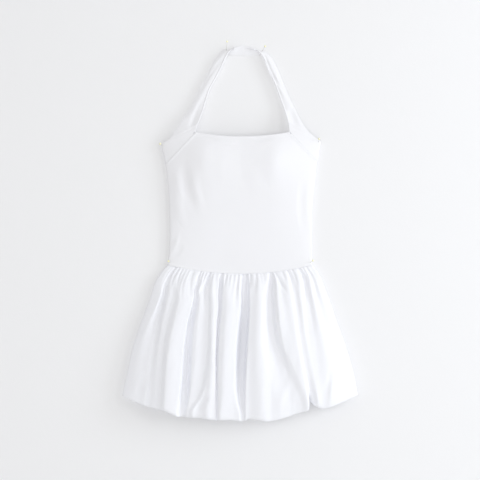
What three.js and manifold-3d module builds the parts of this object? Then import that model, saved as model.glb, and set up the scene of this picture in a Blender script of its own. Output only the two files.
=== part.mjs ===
// A halter mini dress with a drop waist and a gathered bubble skirt, held flat against a wall by six
// ball-headed pins. Millimetres, +Z up. The dress faces -Y, the wall is the plane y = 0, and the origin
// lies midway between the neck pins. A place on the cloth is given by x, by its drop below the origin,
// and by its depth in front of the wall.
import * as THREE from "three";
import { mergeVertices } from "three/addons/utils/BufferGeometryUtils.js";
import Module from "manifold-3d";

const wasm = await Module();
wasm.setup();
const { lerp, clamp, smoothstep } = THREE.MathUtils;

// Cloth walls and seams
const JERSEY_WALL = 1.6; // doubled smooth knit of the bodice
const STRAP_WALL = 2; // halter band, folded double
const POPLIN_WALL = 1.4; // woven cotton of the skirt
const CASING_WALL = 2; // elastic inside its casing
const SEAM_GAP = 0.3; // room between two pieces where they are sewn
const SIDE_DEPTH = 6; // how far the bodice's side seams stand off the wall
const SIDE_ROUND = 3; // rounding of the pressed tube at a side seam
const SIDE_COLUMNS = [0, 0.3, 1]; // columns on that rounding, as shares of it

// Outline and fullness of the upper body. depth is that of the middle, and fall the share lost towards
// the sides.
const BODICE = [
  { drop: -10, left: -186.1, right: 172.4, depth: 12, fall: 0 },
  { drop: 60, left: -186.1, right: 172.4, depth: 13, fall: 0.1 },
  { drop: 130, left: -186.1, right: 172.4, depth: 18, fall: 0.35 },
  { drop: 183, left: -186.1, right: 172.4, depth: 25, fall: 0.5 },
  { drop: 209, left: -186.1, right: 172.4, depth: 31, fall: 0.6 },
  { drop: 250, left: -177.5, right: 164.6, depth: 34, fall: 0.6 },
  { drop: 300, left: -170.8, right: 158.4, depth: 29, fall: 0.5 },
  { drop: 355, left: -168, right: 153.6, depth: 23, fall: 0.4 },
  { drop: 410, left: -167, right: 151.9, depth: 19, fall: 0.35 },
  { drop: 450, left: -168.3, right: 152.6, depth: 16.5, fall: 0.3 },
  { drop: 480.5, left: -171.5, right: 153, depth: 15, fall: 0.3 },
  { drop: 502, left: -171.5, right: 153, depth: 15, fall: 0.3 },
];
const FLAT_MIDDLE = 0.38; // share of the half width that stays level across the bust
const CUP = { apart: 72, drop: 243, spread: 34, rise: 4 }; // soft bust fullness on each side
const NECKLINE_SAG = 10; // dip of the front neckline between its corners
const WAIST = { drop: 500.5, rise: 20, centre: -9.2, half: 162.3 };
const BACK_TOP = { left: 211.5, right: 206.2 }; // drops of the back's top edge under the arms
const BACK_LEVEL = 0.78; // share of the back's half width that lies on the wall

// The halter band, a row for each station from the bodice seam to the nape. own is how far a row's two
// depths replace the bodice's form, and bow is how much the band rounds forward between its edges.
const named = (columns, rows) =>
  rows.map((row) => Object.fromEntries(columns.map((name, i) => [name, row[i]])));
const STATION = ["outerX", "outerDrop", "innerX", "innerDrop", "own", "outer", "inner", "bow"];
const HALTER_LEFT = named(STATION, [
  [-175.5, 252.5, -109.6, 182.8, 0, 0, 0, 0],
  [-180.9, 231, -109.2, 179, 0, 0, 0, 0],
  [-186.1, 210.8, -108.2, 174.5, 0, 0, 0, 0],
  [-168.8, 199.1, -106, 167.6, 0.1, 11, 20, 1],
  [-154.6, 182, -101.5, 157.5, 0.35, 11, 18, 1.5],
  [-137.5, 154.8, -95.5, 142.5, 0.7, 11, 16, 2],
  [-123.1, 133.4, -88.9, 124.9, 1, 10.5, 14.5, 2.5],
  [-111.8, 113.6, -83.5, 106, 1, 10, 13.5, 2.5],
  [-97.4, 83.7, -75.5, 84, 1, 9.5, 13, 2.5],
  [-86.2, 62.1, -63.5, 62.6, 1, 9, 13, 2.5],
  [-74.7, 36.7, -51, 38.5, 1, 8.5, 13, 2.5],
  [-66.2, 19.4, -43.4, 20.9, 1, 8, 13.5, 2.5],
  [-56.3, 6.8, -37.5, 9.5, 1, 7.5, 14, 2],
  [-46.5, -2.2, -33, 2.5, 1, 6.5, 14, 1.5],
  [-40, -4.2, -28.5, -2.2, 1, 4, 13.5, 0.5],
  [-36.5, 1.5, -22, -6.2, 1, 2.6, 12, 0],
  [-32, 7, -14, -9.2, 1, 2.4, 10.5, 0],
  [-16, 8.1, -7, -10.6, 1, 2.2, 9, 0],
  [-0.15, 8.1, -0.15, -10.8, 1, 2.2, 8.5, 0],
]);
const HALTER_RIGHT = named(STATION, [
  [164.8, 248, 101.9, 182.7, 0, 0, 0, 0],
  [168.9, 227, 101.8, 178.5, 0, 0, 0, 0],
  [172.4, 205.5, 101.4, 173, 0, 0, 0, 0],
  [159.1, 193.3, 99.5, 163.5, 0.1, 11, 20, 1],
  [144.7, 180.5, 97.7, 154.8, 0.35, 11, 18, 1.5],
  [130.5, 160.7, 94, 143.5, 0.7, 11, 16, 2],
  [116.3, 135, 88.3, 127, 1, 10.5, 14.5, 2.5],
  [104.9, 110.7, 81.5, 108.5, 1, 10, 13.5, 2.5],
  [93.4, 85.1, 72.8, 84.8, 1, 9.5, 13, 2.5],
  [83.5, 60.8, 63.7, 61, 1, 9, 13, 2.5],
  [73.6, 36.7, 54, 37.5, 1, 8.5, 13, 2.5],
  [63.5, 16.7, 44.6, 17.3, 1, 8, 13.5, 2.5],
  [53.6, 5.6, 38.5, 8, 1, 7.5, 14, 2],
  [46, -0.8, 33.5, 3, 1, 6.5, 14, 1.5],
  [40, -1, 28.5, -1.5, 1, 4, 13.5, 0.5],
  [36.8, 3.6, 22, -4.8, 1, 2.6, 12, 0],
  [32, 7.6, 14.5, -7.8, 1, 2.4, 10.5, 0],
  [16, 8.1, 7, -9.9, 1, 2.2, 9, 0],
  [0.15, 8.1, 0.15, -10.8, 1, 2.2, 8.5, 0],
]);
const UNDERARM_STATION = 2; // the last station whose outer end is on the side seam
const BAND_STEPS = 4; // columns across the band, and rows of the bodice along the seam under it

// Skirt sections. way runs from 0 at the waist to 1 where the bubble starts to turn under.
const SKIRT = [
  { way: 0, left: -171.5, right: 153, front: 16, side: 6 },
  { way: 0.05, left: -184.5, right: 164.5, front: 20, side: 6.5 },
  { way: 0.14, left: -200.5, right: 177.5, front: 27, side: 7.5 },
  { way: 0.22, left: -207.5, right: 186.5, front: 32, side: 8 },
  { way: 0.41, left: -228.4, right: 206, front: 41, side: 9.5 },
  { way: 0.61, left: -248.3, right: 227, front: 47, side: 11 },
  { way: 0.81, left: -261.8, right: 244.3, front: 51, side: 12 },
  { way: 1, left: -273, right: 256, front: 49, side: 12 },
];
const BACK_FACE = 0.6; // depth of the back skirt's outer face
const FULL_ACROSS = 5; // power of the front skirt's fullness across its width
const HEM = { drop: 830, rise: 54, centre: -9, half: 266, turn: 12 };

// How far below its bowed line the front's hem hangs, from left to right. The deep dip near the right is
// a notch between two folds.
const FRONT_HEM = [
  { x: -273, below: -1 },
  { x: -236, below: 2 },
  { x: -200, below: 1.5 },
  { x: -180, below: -0.8 },
  { x: -153, below: 4.5 },
  { x: -133, below: 3.7 },
  { x: -99, below: -1.2 },
  { x: -61, below: 0.3 },
  { x: -31, below: -2.4 },
  { x: -3, below: 0 },
  { x: 16, below: -4.8 },
  { x: 54, below: 2.8 },
  { x: 83, below: 1.4 },
  { x: 117, below: -4.3 },
  { x: 147, below: -6 },
  { x: 152.5, below: -15 },
  { x: 160, below: -13 },
  { x: 177, below: -2 },
  { x: 218, below: 0 },
  { x: 256, below: -3 },
];
const BACK_HEM = [
  { x: -273, below: -1 },
  { x: 0, below: -7 },
  { x: 256, below: -3 },
];
const RETURN = { up: 46, front: 29, back: 9, side: 19, left: -222, right: 204, inset: 0.3, round: 10 };

// How near the turned-under cloth starts to the outside, as a share.
const RETURN_HUG = { front: 0.5, back: -0.12 };
const RETURN_DIP = 0.25; // share of a valley's depth that the turned-under cloth starts with
const CASING_HEIGHT = 14;
const TURNED = 2; // way at the end of the turn under the hem
const SEWN_IN = 3; // way at the casing

// Long valleys between the skirt's folds, at four ways down. from and to are shares of the width where
// the cloth starts to drop and is back up, and each side falls over its own distance.
const VALLEY_WAYS = [0.1, 0.3, 0.6, 0.95];
const FRONT_VALLEYS = [
  {
    from: [0.038, 0.039, 0.044, 0.058],
    to: [0.073, 0.076, 0.101, 0.102],
    falls: [10, 5],
    depth: [3, 8, 9, 4],
  },
  {
    from: [0.097, 0.11, 0.134, 0.147],
    to: [0.13, 0.142, 0.157, 0.177],
    falls: [8, 5],
    depth: [3, 6, 6, 3],
  },
  {
    from: [0.231, 0.23, 0.23, 0.23],
    to: [0.25, 0.265, 0.282, 0.281],
    falls: [5, 9],
    depth: [5, 12, 12, 6],
  },
  {
    from: [0.291, 0.302, 0.324, 0.302],
    to: [0.316, 0.336, 0.352, 0.33],
    falls: [7, 4],
    depth: [4, 8, 9, 5],
  },
  {
    from: [0.37, 0.382, 0.388, 0.39],
    to: [0.396, 0.403, 0.408, 0.412],
    falls: [4, 4],
    depth: [7, 15, 15, 9],
  },
  {
    from: [0.518, 0.505, 0.483, 0.48],
    to: [0.566, 0.556, 0.534, 0.519],
    falls: [5, 5],
    depth: [8, 17, 17, 10],
  },
  {
    from: [0.697, 0.676, 0.674, 0.741],
    to: [0.718, 0.71, 0.718, 0.781],
    falls: [6, 7],
    depth: [5, 10, 10, 6],
  },
  {
    from: [0.8, 0.8, 0.786, 0.794],
    to: [0.84, 0.832, 0.808, 0.818],
    falls: [5, 6],
    depth: [3, 6, 6, 6],
  },
  {
    from: [0.889, 0.856, 0.835, 0.842],
    to: [0.919, 0.896, 0.883, 0.874],
    falls: [4, 8],
    depth: [5, 6, 6, 3],
  },
  {
    from: [0.947, 0.939, 0.936, 0.932],
    to: [0.969, 0.969, 0.971, 0.964],
    falls: [6, 6],
    depth: [2, 4, 3, 1],
  },
];
const BACK_VALLEYS = [
  {
    from: [0.065, 0.06, 0.057, 0.055],
    to: [0.11, 0.11, 0.107, 0.105],
    falls: [8, 8],
    depth: [1, 2, 2, 1],
  },
  {
    from: [0.175, 0.165, 0.16, 0.18],
    to: [0.23, 0.22, 0.22, 0.24],
    falls: [10, 6],
    depth: [2, 5, 5, 3],
  },
  {
    from: [0.285, 0.29, 0.3, 0.28],
    to: [0.33, 0.335, 0.345, 0.325],
    falls: [6, 8],
    depth: [2, 4, 4, 3],
  },
  {
    from: [0.4, 0.395, 0.39, 0.4],
    to: [0.46, 0.455, 0.45, 0.46],
    falls: [8, 8],
    depth: [2, 5, 5, 4],
  },
  {
    from: [0.53, 0.54, 0.545, 0.52],
    to: [0.57, 0.58, 0.585, 0.56],
    falls: [5, 9],
    depth: [2, 4, 4, 3],
  },
  {
    from: [0.63, 0.635, 0.65, 0.66],
    to: [0.69, 0.695, 0.705, 0.72],
    falls: [9, 6],
    depth: [2, 5, 5, 3],
  },
  {
    from: [0.77, 0.775, 0.78, 0.77],
    to: [0.81, 0.82, 0.825, 0.81],
    falls: [7, 7],
    depth: [2, 4, 4, 3],
  },
  {
    from: [0.885, 0.89, 0.89, 0.895],
    to: [0.93, 0.935, 0.94, 0.945],
    falls: [8, 8],
    depth: [1, 2, 2, 1],
  },
];
const CROWN_STEP = 0.045; // widest share of the width between two columns on a fold's crown
const GATHER = { rise: 1.7, fade: 0.15, margin: 0.02, front: 38, back: 30, steps: 3 };
const GATHER_WAYS = [0, 0.03, 0.065, 0.105]; // rows that carry the small gathers
const FOLD_WAYS = [0.15, 0.22, 0.31, 0.42, 0.54, 0.67, 0.8, 0.92, 1]; // rows that carry the folds alone
const TURN_WAYS = [1.2, 1.4, 1.6, 1.8, 2, 2.5, 3]; // rows round the hem and up inside

// Ball-headed pins: where each shaft meets the cloth, and where its head stands.
const PIN = { shaft: 0.4, head: 2.1, length: 40, clearance: 0.3, sides: 8 };
const PINS = named(["name", "x", "drop", "depth", "headX", "headDrop", "headDepth"], [
  ["pin_neck_left", -39.6, -1.4, 8, -37.8, -20.3, 25],
  ["pin_neck_right", 39.6, 1.8, 8, 47.3, -9.9, 22],
  ["pin_underarm_left", -181, 213.5, 9, -187.9, 208.8, 22],
  ["pin_underarm_right", 167.3, 206.5, 9, 168.2, 197.8, 21],
  ["pin_waist_left", -165.5, 475.5, 9, -169.4, 472, 21],
  ["pin_waist_right", 147.5, 475.5, 9, 154.5, 470.6, 21],
]);

const place = (x, drop, depth) => new THREE.Vector3(x, -depth, -drop);

// The value of a table's column at a place between its rows.
function read(table, key, at, column) {
  const last = table.length - 2;
  const found = table.findIndex((row, i) => i <= last && at <= table[i + 1][key]);
  const i = found < 0 ? last : found;
  const share = clamp((at - table[i][key]) / (table[i + 1][key] - table[i][key]), 0, 1);
  return lerp(table[i][column], table[i + 1][column], share);
}

// Rises from 0 to 1 along a quarter circle.
const quarter = (share) => Math.sqrt(1 - (1 - clamp(share, 0, 1)) ** 2);

// A drop line that is lowest at its centre, as the waist seam and the hem are.
const bowed = (line, x) => line.drop - line.rise * ((x - line.centre) / line.half) ** 2;

// The direction that the right side of a surface faces, from two ways along it.
function facing(surface, across, along, step) {
  const overAcross = surface(across + step, along).sub(surface(across - step, along));
  const overAlong = surface(across, along + step).sub(surface(across, along - step));
  return overAlong.cross(overAcross).normalize();
}

// Triangles between two rows of samples. Rows of one length pair off one to one, and others by their
// share across.
function zip(above, below, aboveIds, belowIds, flip, faces) {
  const paired = above.length === below.length;
  const aboveFirst = (i, j) => (paired ? i === j : above[i + 1].across <= below[j + 1].across);
  let i = 0;
  let j = 0;
  while (i < above.length - 1 || j < below.length - 1) {
    const stepAbove = j === below.length - 1 || (i < above.length - 1 && aboveFirst(i, j));
    const next = stepAbove ? aboveIds[i + 1] : belowIds[j + 1];
    faces.push(...(flip ? [aboveIds[i], next, belowIds[j]] : [aboveIds[i], belowIds[j], next]));
    if (stepAbove) i += 1;
    else j += 1;
  }
}

// A closed cloth wall on rows of samples. Each sample has its place on the right side and the way that
// side faces.
function clothWall(rows, wall) {
  const points = [];
  const shifted = (sample, shift) => sample.point.clone().addScaledVector(sample.normal, -shift);
  const index = (row, shift) => row.map((sample) => points.push(shifted(sample, shift)) - 1);
  const right = rows.map((row) => index(row, 0));
  const wrong = rows.map((row) => index(row, wall));
  const faces = [];
  for (let i = 0; i + 1 < rows.length; i += 1) {
    zip(rows[i], rows[i + 1], right[i], right[i + 1], false, faces);
    zip(rows[i], rows[i + 1], wrong[i], wrong[i + 1], true, faces);
  }
  const rim = (a, b) => {
    for (let k = 0; k + 1 < a.length; k += 1) {
      faces.push(a[k], a[k + 1], b[k + 1], a[k], b[k + 1], b[k]);
    }
  };
  const rimOtherWay = (a, b) => {
    for (let k = 0; k + 1 < a.length; k += 1) {
      faces.push(a[k], a[k + 1], b[k], a[k + 1], b[k + 1], b[k]);
    }
  };
  const firsts = (sheet) => sheet.map((row) => row[0]);
  const lasts = (sheet) => sheet.map((row) => row[row.length - 1]);
  rim(right[0], wrong[0]);
  rim([...right.at(-1)].reverse(), [...wrong.at(-1)].reverse());
  rimOtherWay(firsts(right).reverse(), firsts(wrong).reverse());
  rim(lasts(right), lasts(wrong));
  const geometry = new THREE.BufferGeometry().setFromPoints(points);
  geometry.setIndex(faces);
  return geometry;
}

// How the front stands off the wall anywhere on the bodice and the foot of the halter band.
function frontDepth(x, drop) {
  const left = read(BODICE, "drop", drop, "left");
  const right = read(BODICE, "drop", drop, "right");
  const half = (right - left) / 2;
  const aside = Math.abs(x - (left + right) / 2);
  const reach = clamp(aside / half, 0, 1);
  const fall = 1 - read(BODICE, "drop", drop, "fall") * smoothstep(reach, FLAT_MIDDLE, 1);
  const middle = read(BODICE, "drop", drop, "depth") - SIDE_DEPTH - SIDE_ROUND;
  const fromCup = (aside - CUP.apart) ** 2 + (drop - CUP.drop) ** 2;
  const cup = CUP.rise * Math.exp(-fromCup / (2 * CUP.spread ** 2));
  const side = SIDE_DEPTH + SIDE_ROUND * quarter((half - aside) / SIDE_ROUND);
  return side + middle * fall * (1 - reach ** 10) + cup;
}

// A point on the seam between the front and a halter band, moved sideways off the seam line by shift.
function bandSeam(foot, share, shift) {
  const along = new THREE.Vector2(foot.outerX - foot.innerX, foot.outerDrop - foot.innerDrop);
  const side = Math.sign(foot.outerX);
  const away = new THREE.Vector2(along.y * side, -along.x * side).normalize();
  return {
    x: foot.innerX + along.x * share + away.x * shift,
    drop: foot.innerDrop + along.y * share + away.y * shift,
  };
}

const sideways = (x) => new THREE.Vector3(Math.sign(x), 0, 0);

// One half of the halter band, from the bodice seam up over the pin to the middle of the nape.
function halterBand(stations) {
  const side = Math.sign(stations[0].outerX);
  const surface = (across, along) => {
    const i = clamp(Math.floor(along), 0, stations.length - 2);
    const step = clamp(along - i, 0, 1);
    const between = (column) => lerp(stations[i][column], stations[i + 1][column], step);
    const share = clamp(side < 0 ? 1 - across : across, 0, 1);
    const x = lerp(between("outerX"), between("innerX"), share);
    const drop = lerp(between("outerDrop"), between("innerDrop"), share);
    const rounding = between("bow") * 4 * share * (1 - share);
    const own = lerp(between("outer"), between("inner"), share) + rounding;
    return place(x, drop, lerp(frontDepth(x, drop), own, between("own")));
  };
  const last = stations.length - 1;
  const rows = stations.map((station, along) =>
    Array.from({ length: BAND_STEPS + 1 }, (_, k) => {
      const across = k / BAND_STEPS;
      const share = side < 0 ? 1 - across : across;
      const point = surface(across, along);
      const normal = facing(surface, across, along, 0.2);
      if (along === last) normal.setX(0).normalize();
      if (along === 0) {
        const seam = bandSeam(stations[0], 1 - share, SEAM_GAP / 2);
        point.copy(place(seam.x, seam.drop, frontDepth(seam.x, seam.drop)));
        normal.set(0, -1, 0);
      }
      if (share === 0 && along <= UNDERARM_STATION) {
        point.y = -(SIDE_DEPTH + SEAM_GAP / 2);
        normal.copy(sideways(side));
      }
      return { across, point, normal };
    }),
  );
  return clothWall(rows, STRAP_WALL);
}

// Shares across a width: close together on the side roundings, even between them.
function evenColumns(width, count) {
  const edge = SIDE_COLUMNS.map((share) => (share * SIDE_ROUND) / width);
  const inner = Array.from({ length: count - 1 }, (_, k) =>
    lerp(edge.at(-1), 1 - edge.at(-1), (k + 1) / count),
  );
  return [...edge, ...inner, ...edge.map((share) => 1 - share).reverse()];
}

// The front bodice, from the neckline and the two band seams down to the waist seam.
function frontBodice() {
  const sideDrops = [290, 330, 370, 410, 447, WAIST.drop - WAIST.rise];
  const seamEnds = Array.from({ length: BAND_STEPS + 1 }, (_, k) => ({
    left: bandSeam(HALTER_LEFT[0], k / BAND_STEPS, -SEAM_GAP / 2),
    right: bandSeam(HALTER_RIGHT[0], k / BAND_STEPS, -SEAM_GAP / 2),
    sag: NECKLINE_SAG * (1 - k / BAND_STEPS),
    onSeam: k < BAND_STEPS,
  }));
  const sideEnds = sideDrops.map((drop, k) => ({
    left: { x: read(BODICE, "drop", drop, "left"), drop },
    right: { x: read(BODICE, "drop", drop, "right"), drop },
    sag: WAIST.rise * ((k + 1) / sideDrops.length) ** 2,
    onSeam: false,
  }));
  const ends = [...seamEnds, ...sideEnds];
  const surface = (x, minusDrop) => place(x, -minusDrop, frontDepth(x, -minusDrop));
  const rows = ends.map(({ left, right, sag, onSeam }, i) => {
    const bottom = i === ends.length - 1;
    return evenColumns(right.x - left.x, 20).map((across) => {
      const x = lerp(left.x, right.x, across);
      const seamShift = bottom ? SEAM_GAP / 2 : 0;
      const drop = lerp(left.drop, right.drop, across) + sag * 4 * across * (1 - across) - seamShift;
      const point = place(x, drop, frontDepth(x, drop));
      const edge = across === 0 || across === 1;
      const overX = surface(x + 1, -drop).sub(surface(x - 1, -drop));
      const overDrop = surface(x, -drop - 1).sub(surface(x, -drop + 1));
      const normal = overDrop.cross(overX).normalize();
      if (bottom) normal.setZ(0).normalize();
      if (edge && onSeam) normal.set(0, -1, 0);
      if (edge && !onSeam) {
        point.y = -(SIDE_DEPTH + SEAM_GAP / 2);
        normal.copy(sideways(x));
      }
      return { across, point, normal };
    });
  });
  return clothWall(rows, JERSEY_WALL);
}

// The back bodice lies on the wall and lifts to the side seams. Its rows run from right to left.
function backBodice() {
  const downs = [0, 0.2, 0.4, 0.6, 0.8, 1];
  const liftOf = (across, width) => {
    const reach = Math.abs(2 * across - 1);
    const fromSide = ((1 - reach) * width) / 2;
    const swell = SIDE_DEPTH - SIDE_ROUND;
    const spread = clamp((reach - BACK_LEVEL) / (1 - BACK_LEVEL), 0, 1);
    if (spread === 0) return 0;
    return swell * spread ** 2 + SIDE_ROUND * (1 - quarter(fromSide / SIDE_ROUND));
  };
  const surface = (across, down) => {
    const drop = (top, bottom) => lerp(top, bottom, down);
    const waistEnd = WAIST.drop - WAIST.rise;
    const leftDrop = drop(BACK_TOP.left, waistEnd);
    const rightDrop = drop(BACK_TOP.right, waistEnd);
    const left = read(BODICE, "drop", leftDrop, "left");
    const right = read(BODICE, "drop", rightDrop, "right");
    const sag = WAIST.rise * clamp(down, 0, 1) ** 2 * 4 * across * (1 - across);
    const x = lerp(right, left, across);
    return place(x, lerp(rightDrop, leftDrop, across) + sag, liftOf(across, right - left));
  };
  const rows = downs.map((down) =>
    evenColumns(BODICE[0].right - BODICE[0].left, 12).map((across) => {
      const point = surface(across, down);
      const normal = facing(surface, across, down, 0.002);
      if (down === 1) point.z += SEAM_GAP / 2;
      if (down === 0 || down === 1) normal.setZ(0).normalize();
      if (across === 0 || across === 1) {
        point.y = -(SIDE_DEPTH - SEAM_GAP / 2);
        normal.copy(sideways(point.x));
      }
      return { across, point, normal };
    }),
  );
  return clothWall(rows, JERSEY_WALL);
}

// A valley's column of four values, read at a way down the skirt.
function alongValley(values, way) {
  const next = clamp(VALLEY_WAYS.findIndex((at) => way < at), -1, 3);
  if (next < 0) return values[3];
  if (next === 0) return values[0];
  const from = VALLEY_WAYS[next - 1];
  return lerp(values[next - 1], values[next], (way - from) / (VALLEY_WAYS[next] - from));
}

// Where a valley begins, reaches its floor, leaves it and ends, as shares of the width.
function valleyColumns(valley, way, width) {
  const from = alongValley(valley.from, way);
  const to = alongValley(valley.to, way);
  const [down, up] = valley.falls;
  const squeeze = Math.min(1, (0.9 * (to - from) * width) / (down + up));
  return [from, from + (down * squeeze) / width, to - (up * squeeze) / width, to];
}

// How deep the long valleys are at a point of the skirt.
function valleyDepth(valleys, across, way, width) {
  const growth = lerp(0.12, 1, smoothstep(way, 0, VALLEY_WAYS[0]));
  return valleys.reduce((sum, valley) => {
    const [from, floorStart, floorEnd, to] = valleyColumns(valley, way, width);
    const inside = smoothstep(across, from, floorStart) * (1 - smoothstep(across, floorEnd, to));
    return sum + growth * alongValley(valley.depth, way) * inside;
  }, 0);
}

// Where each small gather starts, as shares of the width.
function gatherStarts(count) {
  const { margin } = GATHER;
  const wander = (k) => (k === 0 || k === count ? 0 : 0.22 * Math.sin(2.3 * k));
  const shareOf = (k) => margin + ((1 - 2 * margin) * (k + wander(k))) / count;
  return Array.from({ length: count + 1 }, (_, k) => shareOf(k));
}

// The height of the small gathers, which fade a little way below the waist seam.
function gatherRise(starts, across, way) {
  const k = starts.findIndex((start, i) => across >= start && across < starts[i + 1]);
  if (k < 0) {
    const fromSide = Math.min(across, 1 - across) / GATHER.margin;
    return -GATHER.rise * clamp(1 - way / GATHER.fade, 0, 1) * clamp(fromSide, 0, 1);
  }
  const turn = (across - starts[k]) / (starts[k + 1] - starts[k]);
  const fade = clamp(1 - way / (GATHER.fade * (0.85 + 0.15 * Math.sin(1.3 * k))), 0, 1);
  return -GATHER.rise * (0.8 + 0.2 * Math.sin(2.1 * k)) * fade * Math.cos(2 * Math.PI * turn);
}

// One skirt panel's right side: down the outside, round under the hem and up inside to the casing.
function skirtSurface(panel) {
  const forward = panel.faces === "front" ? 1 : -1;
  const leftToRight = (across) => (forward > 0 ? across : 1 - across);
  const hemWidth = SKIRT.at(-1).right - SKIRT.at(-1).left;
  const form = (across, way) => {
    const [left, right, side, front] = ["left", "right", "side", "front"].map((name) =>
      read(SKIRT, "way", way, name),
    );
    const reach = clamp(Math.abs(2 * across - 1), 0, 1);
    const fromSide = ((1 - reach) * (right - left)) / 2;
    const crown = panel.faces === "front" ? front : 2 * side - BACK_FACE;
    const full = (crown - side - SIDE_ROUND) * (1 - reach ** FULL_ACROSS);
    const depth = side + forward * (SIDE_ROUND * quarter(fromSide / SIDE_ROUND) + full);
    return { left, right, side, reach, depth, share: leftToRight(across) };
  };
  const outside = (across, way, gathers) => {
    const { left, right, reach, depth, share } = form(across, way);
    const waistX = lerp(SKIRT[0].left, SKIRT[0].right, share);
    const hemX = lerp(SKIRT.at(-1).left, SKIRT.at(-1).right, share);
    const hem = bowed(HEM, hemX) + read(panel.hem, "x", hemX, "below");
    const drop = lerp(bowed(WAIST, waistX), hem - HEM.turn, way);
    const small = gathers ? gatherRise(panel.starts, across, way) * panel.gatherShare : 0;
    const valleys = valleyDepth(panel.valleys, across, way, right - left);
    const folds = (small - valleys) * (1 - reach ** 12);
    return place(lerp(left, right, share), drop, depth + forward * folds);
  };
  const inside = (across, rise) => {
    const { side, reach, depth, share } = form(across, 1);
    const sewn = lerp(RETURN.left, RETURN.right, share);
    const start = outside(across, 1, false);
    const x = lerp(lerp(start.x, sewn, RETURN.inset), sewn, rise);
    const drop = lerp(-start.z, bowed(HEM, sewn) - RETURN.up, rise);
    const round = quarter(((1 - reach) * (RETURN.right - RETURN.left)) / 2 / RETURN.round);
    const dip = forward * RETURN_DIP * valleyDepth(panel.valleys, across, 1, hemWidth);
    const startDepth = lerp(side, depth, RETURN_HUG[panel.faces]) - dip * (1 - reach ** 12);
    return place(x, drop, lerp(startDepth, lerp(RETURN.side, RETURN[panel.faces], round), rise));
  };
  return (across, way, gathers) => {
    if (way <= 1) return outside(across, way, gathers);
    if (way > TURNED) return inside(across, way - TURNED);
    const from = outside(across, 1, false);
    const to = inside(across, 0);
    const angle = (way - 1) * Math.PI;
    const turn = HEM.turn - 0.12 * valleyDepth(panel.valleys, across, 1, hemWidth);
    const centre = from.clone().add(to).multiplyScalar(0.5);
    return centre
      .addScaledVector(from.clone().sub(to), 0.5 * Math.cos(angle))
      .add(new THREE.Vector3(0, 0, -turn * Math.sin(angle)));
  };
}

// The columns of a row that follow the valleys and the crowns between them.
function foldColumns(panel, way) {
  const width = read(SKIRT, "way", way, "right") - read(SKIRT, "way", way, "left");
  const edge = [...SIDE_COLUMNS, 3].map((share) => (share * SIDE_ROUND) / width);
  const columns = [...edge];
  const fill = (to, count) => {
    const from = columns.at(-1);
    for (let k = 1; k < count; k += 1) columns.push(lerp(from, to, k / count));
  };
  const middles = [0.02, ...panel.valleys.flatMap((valley) => [valley.from[2], valley.to[2]]), 0.98];
  const crownWidth = (i) => middles[2 * i + 1] - middles[2 * i];
  const crowns = panel.valleys.map((_, i) => Math.ceil(crownWidth(i) / CROWN_STEP));
  panel.valleys.forEach((valley, i) => {
    const across = valleyColumns(valley, way, width);
    fill(across[0], crowns[i]);
    columns.push(...across);
  });
  fill(1 - edge.at(-1), Math.ceil((0.98 - middles.at(-2)) / CROWN_STEP));
  return [...columns, ...edge.map((share) => 1 - share).reverse()];
}

// The columns of a row that follow the small gathers.
function gatherColumns(panel, way) {
  const width = read(SKIRT, "way", way, "right") - read(SKIRT, "way", way, "left");
  const edge = SIDE_COLUMNS.map((share) => (share * SIDE_ROUND) / width);
  const { starts } = panel;
  const within = starts.slice(0, -1).flatMap((start, k) =>
    Array.from({ length: GATHER.steps }, (_, i) => lerp(start, starts[k + 1], i / GATHER.steps)),
  );
  return [...edge, ...within, starts.at(-1), ...edge.map((share) => 1 - share).reverse()];
}

// A whole skirt panel, front or back, with its gathers, folds and turned-under hem.
function skirtPanel(faces, valleys, hem, gatherShare) {
  const panel = { faces, valleys, hem, gatherShare, starts: gatherStarts(GATHER[faces]) };
  const surface = skirtSurface(panel);
  const plain = (across, way) => surface(across, way, false);
  const seamShift = faces === "front" ? -SEAM_GAP / 2 : SEAM_GAP / 2;
  const row = (way, columns) =>
    columns.map((across) => {
      const point = surface(across, way, true);
      const normal = facing(plain, clamp(across, 0.002, 0.998), clamp(way, 0.01, SEWN_IN - 0.01), 0.002);
      if (way === 0) point.z -= SEAM_GAP / 2;
      if (across === 0 || across === 1) {
        const below = plain(across, Math.min(way + 0.02, SEWN_IN));
        const down = below.sub(plain(across, Math.max(way - 0.02, 0)));
        normal.set(down.z, 0, -down.x).multiplyScalar(-Math.sign(point.x)).normalize();
        point.y += seamShift;
      }
      if (way === 0 || way === SEWN_IN) normal.setZ(0).normalize();
      return { across, point, normal };
    });
  const gathered = GATHER_WAYS.map((way) => row(way, gatherColumns(panel, way)));
  const lower = [...FOLD_WAYS, ...TURN_WAYS];
  const folded = lower.map((way) => row(way, foldColumns(panel, Math.min(way, 1))));
  return clothWall([...gathered, ...folded], POPLIN_WALL);
}

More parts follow.
